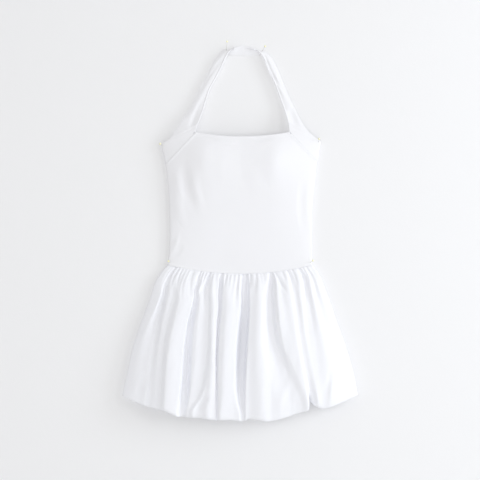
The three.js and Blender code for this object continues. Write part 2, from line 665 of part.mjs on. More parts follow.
// The elastic casing that holds the turned-under hem: a flattened ring with round ends.
function hemCasing() {
  const bends = 6;
  const straights = 12;
  const { left, right, round, side, up } = RETURN;
  const loop = [];
  const straight = (from, to, angle) => {
    for (let k = 0; k <= straights; k += 1) loop.push([lerp(from, to, k / straights), angle]);
  };
  const bend = (x, angle) => {
    for (let k = 1; k < bends; k += 1) loop.push([x, angle - (Math.PI * k) / bends]);
  };
  straight(left + round, right - round, Math.PI / 2);
  bend(right - round, Math.PI / 2);
  straight(right - round, left + round, -Math.PI / 2);
  bend(left + round, -Math.PI / 2);
  const points = [];
  const ring = (radius, rise) =>
    loop.map(([x, angle]) => {
      const at = x + radius * Math.cos(angle);
      const drop = bowed(HEM, clamp(at, left, right)) - up - rise;
      return points.push(place(at, drop, side + radius * Math.sin(angle))) - 1;
    });
  const inner = round - SEAM_GAP;
  const outer = inner + CASING_WALL;
  const rings = [
    ring(outer, SEAM_GAP),
    ring(outer, CASING_HEIGHT),
    ring(inner, CASING_HEIGHT),
    ring(inner, SEAM_GAP),
  ];
  const faces = [];
  rings.forEach((lower, i) => {
    const upper = rings[(i + 1) % rings.length];
    lower.forEach((a, k) => {
      const b = lower[(k + 1) % lower.length];
      const c = upper[(k + 1) % lower.length];
      faces.push(a, b, c, a, c, upper[k]);
    });
  });
  return new THREE.BufferGeometry().setFromPoints(points).setIndex(faces);
}

// A pin's axis, from its point in the wall to the middle of its head.
function pinAxis(pin) {
  const head = place(pin.headX, pin.headDrop, pin.headDepth);
  const towards = head.clone().sub(place(pin.x, pin.drop, pin.depth)).normalize();
  return { head, towards, tip: head.clone().addScaledVector(towards, -PIN.length) };
}

const upright = new THREE.Vector3(0, 1, 0);

// A pin's shaft and ball head in one piece.
function pinBody(pin) {
  const { shaft, head, length, sides } = PIN;
  const neck = length - Math.sqrt(head ** 2 - shaft ** 2);
  const ball = [-0.88, 0, 0.88].map((turn) => [head * Math.cos(turn), length + head * Math.sin(turn)]);
  const profile = [[0, 0], [shaft, 3], [shaft, neck], ...ball, [0, length + head]];
  const { towards, tip } = pinAxis(pin);
  return new THREE.LatheGeometry(profile.map(([r, y]) => new THREE.Vector2(r, y)), sides)
    .applyQuaternion(new THREE.Quaternion().setFromUnitVectors(upright, towards))
    .translate(tip.x, tip.y, tip.z);
}

// The hole that a pin's shaft needs in the cloth.
function pinHole(pin) {
  const { head, towards, tip } = pinAxis(pin);
  const middle = head.clone().add(tip).multiplyScalar(0.5);
  const radius = PIN.shaft + PIN.clearance;
  return new THREE.CylinderGeometry(radius, radius, PIN.length + 4, PIN.sides)
    .applyQuaternion(new THREE.Quaternion().setFromUnitVectors(upright, towards))
    .translate(middle.x, middle.y, middle.z);
}

function solidOf(geometry) {
  const bare = geometry.clone();
  bare.deleteAttribute("normal");
  bare.deleteAttribute("uv");
  const merged = mergeVertices(bare, 1e-4);
  return new wasm.Manifold(
    new wasm.Mesh({
      numProp: 3,
      vertProperties: merged.attributes.position.array,
      triVerts: new Uint32Array(merged.index.array),
    }),
  );
}

// The cloth with a hole round each pin that goes through it.
function pierced(geometry, ...names) {
  const holes = PINS.filter((pin) => names.includes(pin.name)).map((pin) => solidOf(pinHole(pin)));
  const mesh = holes.reduce((cloth, hole) => cloth.subtract(hole), solidOf(geometry)).getMesh();
  const points = new Float32Array(mesh.numVert * 3);
  for (let i = 0; i < mesh.numVert; i += 1) {
    points.set(mesh.vertProperties.subarray(i * mesh.numProp, i * mesh.numProp + 3), i * 3);
  }
  return new THREE.BufferGeometry()
    .setAttribute("position", new THREE.BufferAttribute(points, 3))
    .setIndex(new THREE.BufferAttribute(mesh.triVerts, 1));
}

const jersey = new THREE.MeshStandardMaterial({ color: 0xf3f2f7, roughness: 0.8, metalness: 0 });
const poplin = new THREE.MeshStandardMaterial({ color: 0xf6f8fc, roughness: 0.88, metalness: 0 });
const pinFinish = new THREE.MeshStandardMaterial({ color: 0xf2e36b, roughness: 0.3, metalness: 0 });

const dress = new THREE.Group();

function add(name, geometry, material) {
  geometry.computeVertexNormals();
  const mesh = new THREE.Mesh(geometry, material);
  mesh.name = name;
  dress.add(mesh);
}

add("front_bodice", pierced(frontBodice(), "pin_waist_left", "pin_waist_right"), jersey);
add(
  "back_bodice",
  pierced(backBodice(), "pin_underarm_left", "pin_underarm_right", "pin_waist_left", "pin_waist_right"),
  jersey,
);
add("halter_left", pierced(halterBand(HALTER_LEFT), "pin_neck_left", "pin_underarm_left"), jersey);
add("halter_right", pierced(halterBand(HALTER_RIGHT), "pin_neck_right", "pin_underarm_right"), jersey);
add("front_skirt", skirtPanel("front", FRONT_VALLEYS, FRONT_HEM, 1), poplin);
add("back_skirt", skirtPanel("back", BACK_VALLEYS, BACK_HEM, 0.6), poplin);
add("hem_casing", hemCasing(), poplin);
for (const pin of PINS) add(pin.name, pinBody(pin), pinFinish);

export default dress;
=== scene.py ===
import math
import bpy
import numpy as np
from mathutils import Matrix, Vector, noise


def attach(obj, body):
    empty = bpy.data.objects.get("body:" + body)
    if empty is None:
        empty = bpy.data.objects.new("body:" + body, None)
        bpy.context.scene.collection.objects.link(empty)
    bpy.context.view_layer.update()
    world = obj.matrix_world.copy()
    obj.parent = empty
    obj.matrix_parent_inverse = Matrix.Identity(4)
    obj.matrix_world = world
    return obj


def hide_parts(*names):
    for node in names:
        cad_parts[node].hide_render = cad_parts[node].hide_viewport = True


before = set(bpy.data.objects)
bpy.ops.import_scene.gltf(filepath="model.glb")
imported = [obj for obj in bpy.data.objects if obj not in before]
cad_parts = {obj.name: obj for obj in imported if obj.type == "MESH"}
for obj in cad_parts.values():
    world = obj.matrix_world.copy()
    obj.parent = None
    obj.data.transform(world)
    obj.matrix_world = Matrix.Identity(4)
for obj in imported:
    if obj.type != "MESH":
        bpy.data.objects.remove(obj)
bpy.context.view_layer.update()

# The room round the dress: a painted wall behind it, a pale floor below, and daylight from a
# large window high on the right. The camera stands square to the wall, far off with a long lens,
# as the photograph was taken. None of it is part of the dress.
VIEW_CENTRE = (-0.009, -0.4244)
VIEW_DISTANCE = 6.0
VIEW_WIDTH = 1.08
FILM_WIDTH = 36
PAINT = (0.82, 0.82, 0.835)
ROLLER_MARKS = 210
BROAD_MARKS = 34
WALL_FACE = 0.0004
WALL_HALF, WALL_TOP = 2.2, 1.3
FLOOR_LEVEL = -1.5
AIM = (0, 0, -0.4)


def shader_of(material):
    return material.node_tree.nodes["Principled BSDF"]


def plain_material(name, colour, roughness):
    material = bpy.data.materials.new(name)
    material.use_nodes = True
    shader_of(material).inputs["Base Color"].default_value = (*colour, 1)
    shader_of(material).inputs["Roughness"].default_value = roughness
    return material


def add_node(material, kind, inputs=None, **settings):
    node = material.node_tree.nodes.new(kind)
    for key, value in settings.items():
        setattr(node, key, value)
    for key, value in (inputs or {}).items():
        if isinstance(value, bpy.types.NodeSocket):
            material.node_tree.links.new(value, node.inputs[key])
        else:
            node.inputs[key].default_value = value
    return node


def place_on(material):
    return add_node(material, "ShaderNodeTexCoord").outputs["Object"]


def mottle(material, place, scale, detail):
    inputs = {"Vector": place, "Scale": scale, "Detail": detail}
    return add_node(material, "ShaderNodeTexNoise", inputs).outputs["Fac"]


def summed(material, one, two):
    return add_node(material, "ShaderNodeMath", {0: one, 1: two}, operation="ADD").outputs["Value"]


def relief(material, height, strength, distance, over=None):
    inputs = {"Height": height, "Strength": strength, "Distance": distance}
    if over is not None:
        inputs["Normal"] = over
    return add_node(material, "ShaderNodeBump", inputs).outputs["Normal"]


def feed(material, output, socket):
    material.node_tree.links.new(output, shader_of(material).inputs[socket])


def new_piece(name, points, faces, material, smooth=True):
    mesh = bpy.data.meshes.new(name)
    mesh.from_pydata(points, [], faces)
    mesh.polygons.foreach_set("use_smooth", [smooth] * len(mesh.polygons))
    mesh.materials.append(material)
    piece = bpy.data.objects.new(name, mesh)
    bpy.context.collection.objects.link(piece)
    return piece


def flat_square(name, corners, material):
    square = new_piece(name, corners, [(0, 1, 2, 3)], material, False)
    return square


wall_paint = plain_material("wall_paint", PAINT, 0.75)
wall_place = place_on(wall_paint)
roller = mottle(wall_paint, wall_place, ROLLER_MARKS, 4)
broad = mottle(wall_paint, wall_place, BROAD_MARKS, 2)
stipple = summed(wall_paint, roller, broad)
feed(wall_paint, relief(wall_paint, stipple, 0.15, 0.0008), "Normal")
seen_side = add_node(wall_paint, "ShaderNodeNewGeometry")
clear = add_node(wall_paint, "ShaderNodeBsdfTransparent")
one_sided = add_node(
    wall_paint,
    "ShaderNodeMixShader",
    {
        0: seen_side.outputs["Backfacing"],
        1: shader_of(wall_paint).outputs["BSDF"],
        2: clear.outputs["BSDF"],
    },
)
wall_paint.node_tree.links.new(
    one_sided.outputs["Shader"], wall_paint.node_tree.nodes["Material Output"].inputs["Surface"]
)
wall = flat_square(
    "wall",
    [
        (-WALL_HALF, WALL_FACE, FLOOR_LEVEL),
        (WALL_HALF, WALL_FACE, FLOOR_LEVEL),
        (WALL_HALF, WALL_FACE, WALL_TOP),
        (-WALL_HALF, WALL_FACE, WALL_TOP),
    ],
    wall_paint,
)
wall.visible_diffuse = False
wall.visible_shadow = False
wall.visible_glossy = False
floor_finish = plain_material("floor_finish", (0.8, 0.8, 0.8), 0.7)
floor_corners = [(x, y, FLOOR_LEVEL) for x, y in ((-4, -5), (4, -5), (4, 4), (-4, 4))]
flat_square("floor", floor_corners, floor_finish)


def soft_light(name, place_at, aim, size, power, colour):
    lamp = bpy.data.lights.new(name, "AREA")
    lamp.shape = "RECTANGLE"
    lamp.size, lamp.size_y = size
    lamp.energy = power
    lamp.color = colour
    light = bpy.data.objects.new(name, lamp)
    light.location = place_at
    light.rotation_euler = (Vector(aim) - Vector(place_at)).to_track_quat("-Z", "Y").to_euler()
    bpy.context.collection.objects.link(light)


soft_light("window", (3.6, -1.35, 0.25), AIM, (1.0, 2.2), 50, (0.9, 0.95, 1.0))
soft_light("window_near", (1.7, -1.8, 0.0), AIM, (0.6, 1.2), 8, (0.95, 0.97, 1.0))
soft_light("front_fill", (-0.9, -4.0, -0.9), AIM, (3.5, 3.0), 42, (1.0, 0.998, 0.985))
soft_light("behind", (1.6, 3.0, 0.8), (0, 0, -0.45), (2.0, 2.0), 60, (1.0, 1.0, 1.0))
world = bpy.data.worlds.new("daylight")
world.use_nodes = True
world.node_tree.nodes["Background"].inputs["Color"].default_value = (1.0, 0.998, 0.985, 1)
world.node_tree.nodes["Background"].inputs["Strength"].default_value = 0.7
bpy.context.scene.world = world
bpy.context.scene.view_settings.view_transform = "Standard"

camera_data = bpy.data.cameras.new("camera")
camera_data.sensor_width = FILM_WIDTH
camera_data.lens = FILM_WIDTH * VIEW_DISTANCE / VIEW_WIDTH
camera = bpy.data.objects.new("camera", camera_data)
camera.location = (VIEW_CENTRE[0], -VIEW_DISTANCE, VIEW_CENTRE[1])
camera.rotation_euler = (math.pi / 2, 0, 0)
bpy.context.collection.objects.link(camera)
bpy.context.scene.camera = camera

# The bodice: a front and a back of smooth double-knit jersey, cut double, sewn at the side seams
# and to the halter bands along two diagonal seams. The front bridges softly from bust to bust.
# Sizes are in millimetres: drop is measured down from the neck pins, depth out from the wall.
MILLIMETRE = 0.001
JERSEY_WALL = 1.6
SEAM_GAP = 0.06
CUT_EDGE_ANGLE = 80
SIDE_DEPTH = 6.0
SIDE_ROUND = 3.0


def table(columns, rows):
    return {name: np.array(values, float) for name, values in zip(columns.split(), zip(*rows))}


BODICE = table(
    "drop left right depth fall",
    [
        (-10, -186.1, 172.4, 12, 0),
        (60, -186.1, 172.4, 13, 0.1),
        (130, -186.1, 172.4, 18, 0.35),
        (183, -186.1, 172.4, 25, 0.5),
        (209, -186.1, 172.4, 31, 0.6),
        (250, -177.5, 164.6, 34, 0.6),
        (300, -170.8, 158.4, 29, 0.5),
        (355, -168, 153.6, 23, 0.4),
        (410, -167, 151.9, 19, 0.35),
        (450, -168.3, 152.6, 16.5, 0.3),
        (480.5, -171.5, 153, 15, 0.3),
        (502, -171.5, 153, 15, 0.3),
    ],
)
FLAT_MIDDLE = 0.38
CUP = {"apart": 72, "drop": 243, "spread": 34, "rise": 4}
NECKLINE_SAG = 10
EDGE_COLUMNS = 6
EDGE_ZONE = 1.4 * SIDE_ROUND
SEAM_LEFT = {"inner": (-109.6, 182.8), "outer": (-175.5, 252.5)}
SEAM_RIGHT = {"inner": (101.9, 182.7), "outer": (164.8, 248.0)}
WAIST = {"drop": 500.5, "rise": 20, "centre": -9.2, "half": 162.3}
WAIST_END = WAIST["drop"] - WAIST["rise"]
# How the cloth stands up along its seams: height, distance from the seam and reach. SLANT turns
# a distance across the dress into one square to a diagonal seam.
SLANT = 0.7
SEAM_LENGTH = 70
SEAM_ROLLS = {"left": {"groove": 0, "rise": 0.8}, "right": {"groove": 0.5, "rise": 0.6}}
ROLL_FROM_SEAM, ROLL_REACH, GROOVE_REACH = 2.4, 1.4, 0.9
NECK_ROLL = {"rise": 1.0, "reach": 3.2}
WAIST_ROLL = {"rise": 0.8, "from_seam": 1, "reach": 3}
BACK_TOP = {"left": 211.5, "right": 206.2}
BACK_LEVEL = 0.78
OFF_THE_WALL = 0.8

# Soft drapes of the jersey, each along a line from its upper to its lower end.
FRONT_DRAPES = table(
    "x drop x_end drop_end half height",
    [
        (-149, 262, -141, 390, 19, 2.3),
        (-137, 250, -112, 350, 19, -2.3),
        (-112, 270, -94, 365, 17, 1.5),
        (-168, 458, -147, 412, 8, 1.8),
        (-164, 466, -138, 436, 9, -1.2),
        (133, 296, 136, 405, 13, -1.9),
        (20, 262, 34, 318, 26, 0.8),
        (-66, 196, -14, 206, 11, 1.1),
        (16, 196, 66, 194, 9, -1.2),
        (-102, 190, -74, 192, 6, -0.7),
        (-150, 380, -132, 402, 2.5, -0.4),
        (-62, 215, -74, 300, 26, -1.1),
        (74, 220, 62, 300, 30, 1.0),
    ],
)


def reading(rows, key, at, column):
    keys, values = rows[key], rows[column]
    slope = np.gradient(values, keys)
    i = np.clip(np.searchsorted(keys, at) - 1, 0, len(keys) - 2)
    gap = keys[i + 1] - keys[i]
    t = np.clip((at - keys[i]) / gap, 0, 1)
    start = (1 + 2 * t) * (1 - t) ** 2 * values[i] + t * (1 - t) ** 2 * gap * slope[i]
    return start + t * t * (3 - 2 * t) * values[i + 1] + t * t * (t - 1) * gap * slope[i + 1]


def ease(value, low, high):
    t = np.clip((value - low) / (high - low), 0, 1)
    return t * t * (3 - 2 * t)


def quarter(share):
    return np.sqrt(1 - (1 - np.clip(share, 0, 1)) ** 2)


def bowed(line, x):
    return line["drop"] - line["rise"] * ((x - line["centre"]) / line["half"]) ** 2


def between_sides(across, power):
    return 1 - np.abs(2 * across - 1) ** power


def hump(distance, reach):
    return np.exp(-((distance / reach) ** 2))


def draped(drapes, x, drop):
    total = np.zeros_like(x)
    for i in range(len(drapes["x"])):
        start = np.array([drapes["x"][i], drapes["drop"][i]])
        run = np.array([drapes["x_end"][i], drapes["drop_end"][i]]) - start
        length = np.hypot(*run)
        along = ((x - start[0]) * run[0] + (drop - start[1]) * run[1]) / length
        off = ((x - start[0]) * run[1] - (drop - start[1]) * run[0]) / length
        bow = 0.05 * length * np.sin(math.pi * np.clip(along / length, 0, 1))
        across = np.clip(np.abs(off + bow) / drapes["half"][i], 0, 1)
        fade = ease(along, -0.15 * length, 0.3 * length)
        fade = fade * (1 - ease(along, 0.6 * length, 1.15 * length))
        total += drapes["height"][i] * (1 - across**2) ** 2 * fade
    return total


def front_form(x, drop):
    left = reading(BODICE, "drop", drop, "left")
    right = reading(BODICE, "drop", drop, "right")
    half = (right - left) / 2
    aside = np.abs(x - (left + right) / 2)
    reach = np.clip(aside / half, 0, 1)
    fall = 1 - reading(BODICE, "drop", drop, "fall") * ease(reach, FLAT_MIDDLE, 1)
    middle = reading(BODICE, "drop", drop, "depth") - SIDE_DEPTH - SIDE_ROUND
    from_cup = (aside - CUP["apart"]) ** 2 + (drop - CUP["drop"]) ** 2
    cup = CUP["rise"] * np.exp(-from_cup / (2 * CUP["spread"] ** 2))
    side = SIDE_DEPTH + SIDE_ROUND * quarter((half - aside) / SIDE_ROUND)
    return side + middle * fall * (1 - reach**10) + cup


def side_columns(count, width):
    near = np.linspace(0, 1, EDGE_COLUMNS + 1)[:-1] ** 1.6 * EDGE_ZONE / width
    inner = np.linspace(EDGE_ZONE / width, 1 - EDGE_ZONE / width, count - 2 * EDGE_COLUMNS)
    return np.concatenate([near, inner, 1 - near[::-1]])


def ways_faced(sheet):
    across = np.gradient(sheet, axis=1)
    down = np.gradient(sheet, axis=0)
    facing = np.cross(down, across)
    return facing / np.maximum(np.linalg.norm(facing, axis=2, keepdims=True), 1e-9)


def woven_quads(*corners):
    return np.stack(corners, -1).reshape(-1, 4)


def strip_quads(one, two):
    return np.stack([one[:-1], one[1:], two[1:], two[:-1]], -1)


def tube_faces(rings, sides, closed=False):
    """Faces between rings of points in a row, and between the last and the first if closed."""
    numbers = np.arange(rings * sides).reshape(rings, sides)
    if closed:
        numbers = np.concatenate([numbers, numbers[:1]])
    onward = np.roll(numbers, -1, axis=1)
    return woven_quads(numbers[:-1], onward[:-1], onward[1:], numbers[1:]).tolist()


def cloth_wall(name, sheet, wall, material, rounded=(), side_seams=True, finish=None):
    """A closed wall of cloth behind a sheet of points (x, drop, depth) on its right side."""
    points = np.stack([sheet[..., 0], -sheet[..., 2], -sheet[..., 1]], axis=-1)
    facing = ways_faced(points)
    if side_seams:
        for column, out in ((0, -1), (-1, 1)):
            sense = out * np.sign(points[0, -1, 0] - points[0, 0, 0])
            facing[:, column] = (sense, 0, 0)
    if finish is not None:
        facing = finish(facing)
        facing /= np.linalg.norm(facing, axis=2, keepdims=True)
    rows, columns = points.shape[:2]
    inner = points - facing * wall
    vertices = [points.reshape(-1, 3), inner.reshape(-1, 3)]
    right = np.arange(rows * columns).reshape(rows, columns)
    wrong = right + rows * columns
    quads = [
        woven_quads(right[:-1, :-1], right[1:, :-1], right[1:, 1:], right[:-1, 1:]),
        woven_quads(wrong[:-1, :-1], wrong[:-1, 1:], wrong[1:, 1:], wrong[1:, :-1]),
    ]
    caps = []
    start = 2 * rows * columns
    edges = {
        "top": (right[0], wrong[0], points[0] - points[1]),
        "bottom": (right[-1][::-1], wrong[-1][::-1], (points[-1] - points[-2])[::-1]),
        "left": (right[::-1, 0], wrong[::-1, 0], (points[:, 0] - points[:, 1])[::-1]),
        "right": (right[:, -1], wrong[:, -1], points[:, -1] - points[:, -2]),
    }
    flat = np.concatenate(vertices)
    for side, (outer_ids, inner_ids, out) in edges.items():
        if side not in rounded:
            quads.append(strip_quads(outer_ids, inner_ids))
            continue
        out = out / np.maximum(np.linalg.norm(out, axis=1, keepdims=True), 1e-9)
        bead = (flat[outer_ids] + flat[inner_ids]) / 2 + out * wall * 0.5
        bead_ids = np.arange(start, start + len(bead))
        start += len(bead)
        vertices.append(bead)
        quads.append(strip_quads(outer_ids, bead_ids))
        quads.append(strip_quads(bead_ids, inner_ids))
        caps.append((outer_ids[0], bead_ids[0], inner_ids[0]))
        caps.append((outer_ids[-1], inner_ids[-1], bead_ids[-1]))
    faces = [tuple(map(int, face)) for face in [*np.concatenate(quads), *caps]]
    piece = new_piece(name, (np.concatenate(vertices) * MILLIMETRE).tolist(), faces, material)
    piece.data.set_sharp_from_angle(angle=math.radians(CUT_EDGE_ANGLE))
    return piece


JERSEY_COLOUR = (0.84, 0.84, 0.87)
THREAD_RELIEF = 0.00012
CRUMPLE_RELIEF = 0.001
PATCH_SHADE = 0.975


def bands(material, place, scale, distortion, direction):
    inputs = {"Vector": place, "Scale": scale, "Distortion": distortion}
    wave = add_node(material, "ShaderNodeTexWave", inputs, bands_direction=direction)
    return wave.outputs["Fac"]


def shaded(material, colour, shade, share):
    inputs = {0: share, 6: (*colour, 1), 7: (*[c * shade for c in colour], 1)}
    return add_node(material, "ShaderNodeMix", inputs, data_type="RGBA").outputs[2]


def cloth_material(name, colour, roughness, threads, weave, crumple, sheen):
    """Matt cloth with its threads as a fine relief, and a soft crumple under them."""
    material = plain_material(name, colour, roughness)
    shader = shader_of(material)
    shader.inputs["Sheen Weight"].default_value = sheen
    shader.inputs["Sheen Roughness"].default_value = 0.5
    shader.inputs["Specular IOR Level"].default_value = 0.2
    at = place_on(material)
    upright = bands(material, at, threads[0], weave, "X")
    level = bands(material, at, threads[1], weave, "Z")
    fibres = relief(material, summed(material, upright, level), 0.22, THREAD_RELIEF)
    soft = mottle(material, at, crumple[0], 3)
    feed(material, relief(material, soft, crumple[1], CRUMPLE_RELIEF, fibres), "Normal")
    feed(material, shaded(material, colour, PATCH_SHADE, mottle(material, at, 9, 2)), "Base Color")
    return material


jersey = cloth_material("jersey", JERSEY_COLOUR, 0.85, (420, 300), 1.5, (60, 0.06), 0.05)


def seam_point(seam, share, shift, side):
    inner, outer = np.array(seam["inner"]), np.array(seam["outer"])
    run = outer - inner
    away = np.array([run[1] * side, -run[0] * side]) / np.hypot(*run)
    return inner + run * share + away * shift


def front_sheet():
    along_seam = np.linspace(0, 1, 40)
    down_side = np.linspace(0, 1, 96)[1:]
    ends = []
    for share in along_seam:
        left = seam_point(SEAM_LEFT, share, -SEAM_GAP / 2, -1)
        right = seam_point(SEAM_RIGHT, share, -SEAM_GAP / 2, 1)
        ends.append((left, right, NECKLINE_SAG * (1 - share), share < 1))
    for share in down_side:
        tops = (SEAM_LEFT["outer"][1], SEAM_RIGHT["outer"][1])
        drops = [top + (WAIST_END - top) * share for top in tops]
        left = (float(reading(BODICE, "drop", drops[0], "left")), drops[0])
        right = (float(reading(BODICE, "drop", drops[1], "right")), drops[1])
        ends.append((left, right, WAIST["rise"] * share**2, False))
    rows = []
    for i, (left, right, sag, on_seam) in enumerate(ends):
        across = side_columns(200, right[0] - left[0])
        x = left[0] + (right[0] - left[0]) * across
        drop = left[1] + (right[1] - left[1]) * across + sag * 4 * across * (1 - across)
        if i == len(ends) - 1:
            drop = drop - SEAM_GAP / 2
        depth = front_form(x, drop) + draped(FRONT_DRAPES, x, drop) * between_sides(across, 8)
        from_top = i / len(along_seam) * SEAM_LENGTH
        depth = depth + NECK_ROLL["rise"] * hump(from_top, NECK_ROLL["reach"])
        if on_seam:
            for side, away in (("left", x - left[0]), ("right", right[0] - x)):
                roll, from_seam = SEAM_ROLLS[side], away * SLANT
                depth = depth - roll["groove"] * hump(from_seam, GROOVE_REACH)
                depth = depth + roll["rise"] * hump(from_seam - ROLL_FROM_SEAM, ROLL_REACH)
        from_roll = bowed(WAIST, x) - drop - WAIST_ROLL["from_seam"]
        depth = depth + WAIST_ROLL["rise"] * hump(from_roll, WAIST_ROLL["reach"])
        if not on_seam:
            depth[0] = depth[-1] = SIDE_DEPTH + SEAM_GAP / 2
        rows.append(np.stack([x, drop, depth], -1))
    return np.array(rows), sum(end[3] for end in ends)


def front_finish(seam_rows):
    def finish(facing):
        facing[:seam_rows, 0] = (0, -1, 0)
        facing[:seam_rows, -1] = (0, -1, 0)
        facing[-1, :, 2] = 0
        return facing

    return finish


front_points, seam_rows = front_sheet()
front_bodice = cloth_wall(
    "front_bodice_cloth",
    front_points,
    JERSEY_WALL,
    jersey,
    rounded=("top",),
    finish=front_finish(seam_rows),
)
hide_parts("front_bodice")
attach(front_bodice, "root")

BACK_DRAPES = table(
    "x drop x_end drop_end half height",
    [
        (-140, 250, -120, 330, 14, -0.7),
        (-60, 280, -40, 420, 18, 0.7),
        (40, 230, 62, 360, 16, -0.7),
        (120, 300, 128, 420, 13, 0.7),
        (-158, 462, -130, 425, 9, 0.7),
    ],
)


def back_sheet():
    rows = []
    for down in np.linspace(0, 1, 90):
        drops = [BACK_TOP[side] + (WAIST_END - BACK_TOP[side]) * down for side in ("left", "right")]
        left = float(reading(BODICE, "drop", drops[0], "left"))
        right = float(reading(BODICE, "drop", drops[1], "right"))
        across = side_columns(130, right - left)
        reach = np.abs(2 * across - 1)
        x = right + (left - right) * across
        drop = drops[1] + (drops[0] - drops[1]) * across
        drop = drop + WAIST["rise"] * down**2 * 4 * across * (1 - across)
        spread = np.clip((reach - BACK_LEVEL) / (1 - BACK_LEVEL), 0, 1)
        from_side = (1 - reach) * (right - left) / 2
        depth = (SIDE_DEPTH - SIDE_ROUND) * spread**2
        depth = depth + SIDE_ROUND * (1 - quarter(from_side / SIDE_ROUND)) * (spread > 0)
        depth = depth + (OFF_THE_WALL + draped(BACK_DRAPES, x, drop)) * between_sides(across, 6)
        if down == 1:
            drop = drop - SEAM_GAP / 2
        depth[0] = depth[-1] = SIDE_DEPTH - SEAM_GAP / 2
        rows.append(np.stack([x, drop, depth], -1))
    return np.array(rows)


def level_ends(facing):
    facing[0, :, 2] = 0
    facing[-1, :, 2] = 0
    return facing


back_bodice = cloth_wall(
    "back_bodice_cloth", back_sheet(), JERSEY_WALL, jersey, finish=level_ends
)
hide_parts("back_bodice")
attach(back_bodice, "root")

# The halter band: two lengths of the same jersey folded double, cut wide at the underarm and
# 23 mm wide at the neck, sewn together at the centre of the nape. The band turns over at the
# neck pins, so that the nape shows its other face; its inner edge rolls forward.
STRAP_WALL = 2.0
HALTER_COLUMNS = "outer_x outer_drop inner_x inner_drop own outer inner bow"
HALTER_LEFT = table(
    HALTER_COLUMNS,
    [
        (-175.5, 252.5, -109.6, 182.8, 0, 0, 0, 0),
        (-180.9, 231, -109.2, 179, 0, 0, 0, 0),
        (-186.1, 210.8, -108.2, 174.5, 0, 0, 0, 0),
        (-168.8, 199.1, -106, 167.6, 0.1, 11, 19.7, 1),
        (-154.6, 182, -101.5, 157.5, 0.35, 11, 16.95, 1.5),
        (-137.5, 154.8, -95.5, 142.5, 0.7, 11, 13.9, 2),
        (-123.1, 133.4, -88.9, 124.9, 1, 9, 11, 2.5),
        (-111.8, 113.6, -83.5, 106, 1, 8.5, 10, 2.5),
        (-97.4, 83.7, -75.5, 84, 1, 8, 9.5, 2.5),
        (-86.2, 62.1, -63.5, 62.6, 1, 7.5, 9.5, 2.5),
        (-74.7, 36.7, -51, 38.5, 1, 7, 9.5, 2.5),
        (-66.2, 19.4, -43.4, 20.9, 1, 6.5, 10, 2.5),
        (-56.3, 6.8, -37.5, 9.5, 1, 6, 10.5, 2),
        (-46.5, -2.2, -33, 2.5, 1, 5, 10.5, 1.5),
        (-40, -4.2, -28.5, -2.2, 1, 4, 11, 0.5),
        (-36.5, 1.5, -22, -6.2, 1, 2.6, 11, 0),
        (-32, 7, -14, -9.2, 1, 2.4, 9.5, 0),
        (-16, 8.1, -7, -10.6, 1, 2.2, 8, 0),
        (-0.15, 8.1, -0.15, -10.8, 1, 2.2, 7.5, 0),
    ],
)
HALTER_RIGHT = table(
    HALTER_COLUMNS,
    [
        (164.8, 248, 101.9, 182.7, 0, 0, 0, 0),
        (168.9, 227, 101.8, 178.5, 0, 0, 0, 0),
        (172.4, 205.5, 101.4, 173, 0, 0, 0, 0),
        (159.1, 193.3, 99.5, 163.5, 0.1, 11, 19.7, 1),
        (144.7, 180.5, 97.7, 154.8, 0.35, 11, 16.95, 1.5),
        (130.5, 160.7, 94, 143.5, 0.7, 11, 13.9, 2),
        (116.3, 135, 88.3, 127, 1, 9, 11, 2.5),
        (104.9, 110.7, 81.5, 108.5, 1, 8.5, 10, 2.5),
        (93.4, 85.1, 72.8, 84.8, 1, 8, 9.5, 2.5),
        (83.5, 60.8, 63.7, 61, 1, 7.5, 9.5, 2.5),
        (73.6, 36.7, 54, 37.5, 1, 7, 9.5, 2.5),
        (63.5, 16.7, 44.6, 17.3, 1, 6.5, 10, 2.5),
        (53.6, 5.6, 38.5, 8, 1, 6, 10.5, 2),
        (46, -0.8, 33.5, 3, 1, 5, 10.5, 1.5),
        (40, -1, 28.5, -1.5, 1, 4, 11, 0.5),
        (36.8, 3.6, 22, -4.8, 1, 2.6, 11, 0),
        (32, 7.6, 14.5, -7.8, 1, 2.4, 9.5, 0),
        (16, 8.1, 7, -9.9, 1, 2.2, 8, 0),
        (0.15, 8.1, 0.15, -10.8, 1, 2.2, 7.5, 0),
    ],
)
UNDERARM_STATION = 2
RIM_ROLL = {"rise": 1.6, "from_edge": 1.6, "reach": 1.8}

# Creases where the bands twist, each from its upper to its lower end.
BAND_CREASES = table(
    "x drop x_end drop_end half height",
    [
        (-48, 18, -100, 94, 6, -1.6),
        (-84, 96, -120, 178, 8, -1.4),
        (-104, 138, -118, 176, 12, -1.2),
        (-60, 30, -92, 78, 5, 1.2),
        (46, 10, 84, 84, 5, -2.6),
        (104, 128, 118, 172, 13, -2.6),
        (70, 50, 96, 110, 6, 1.2),
    ],
)


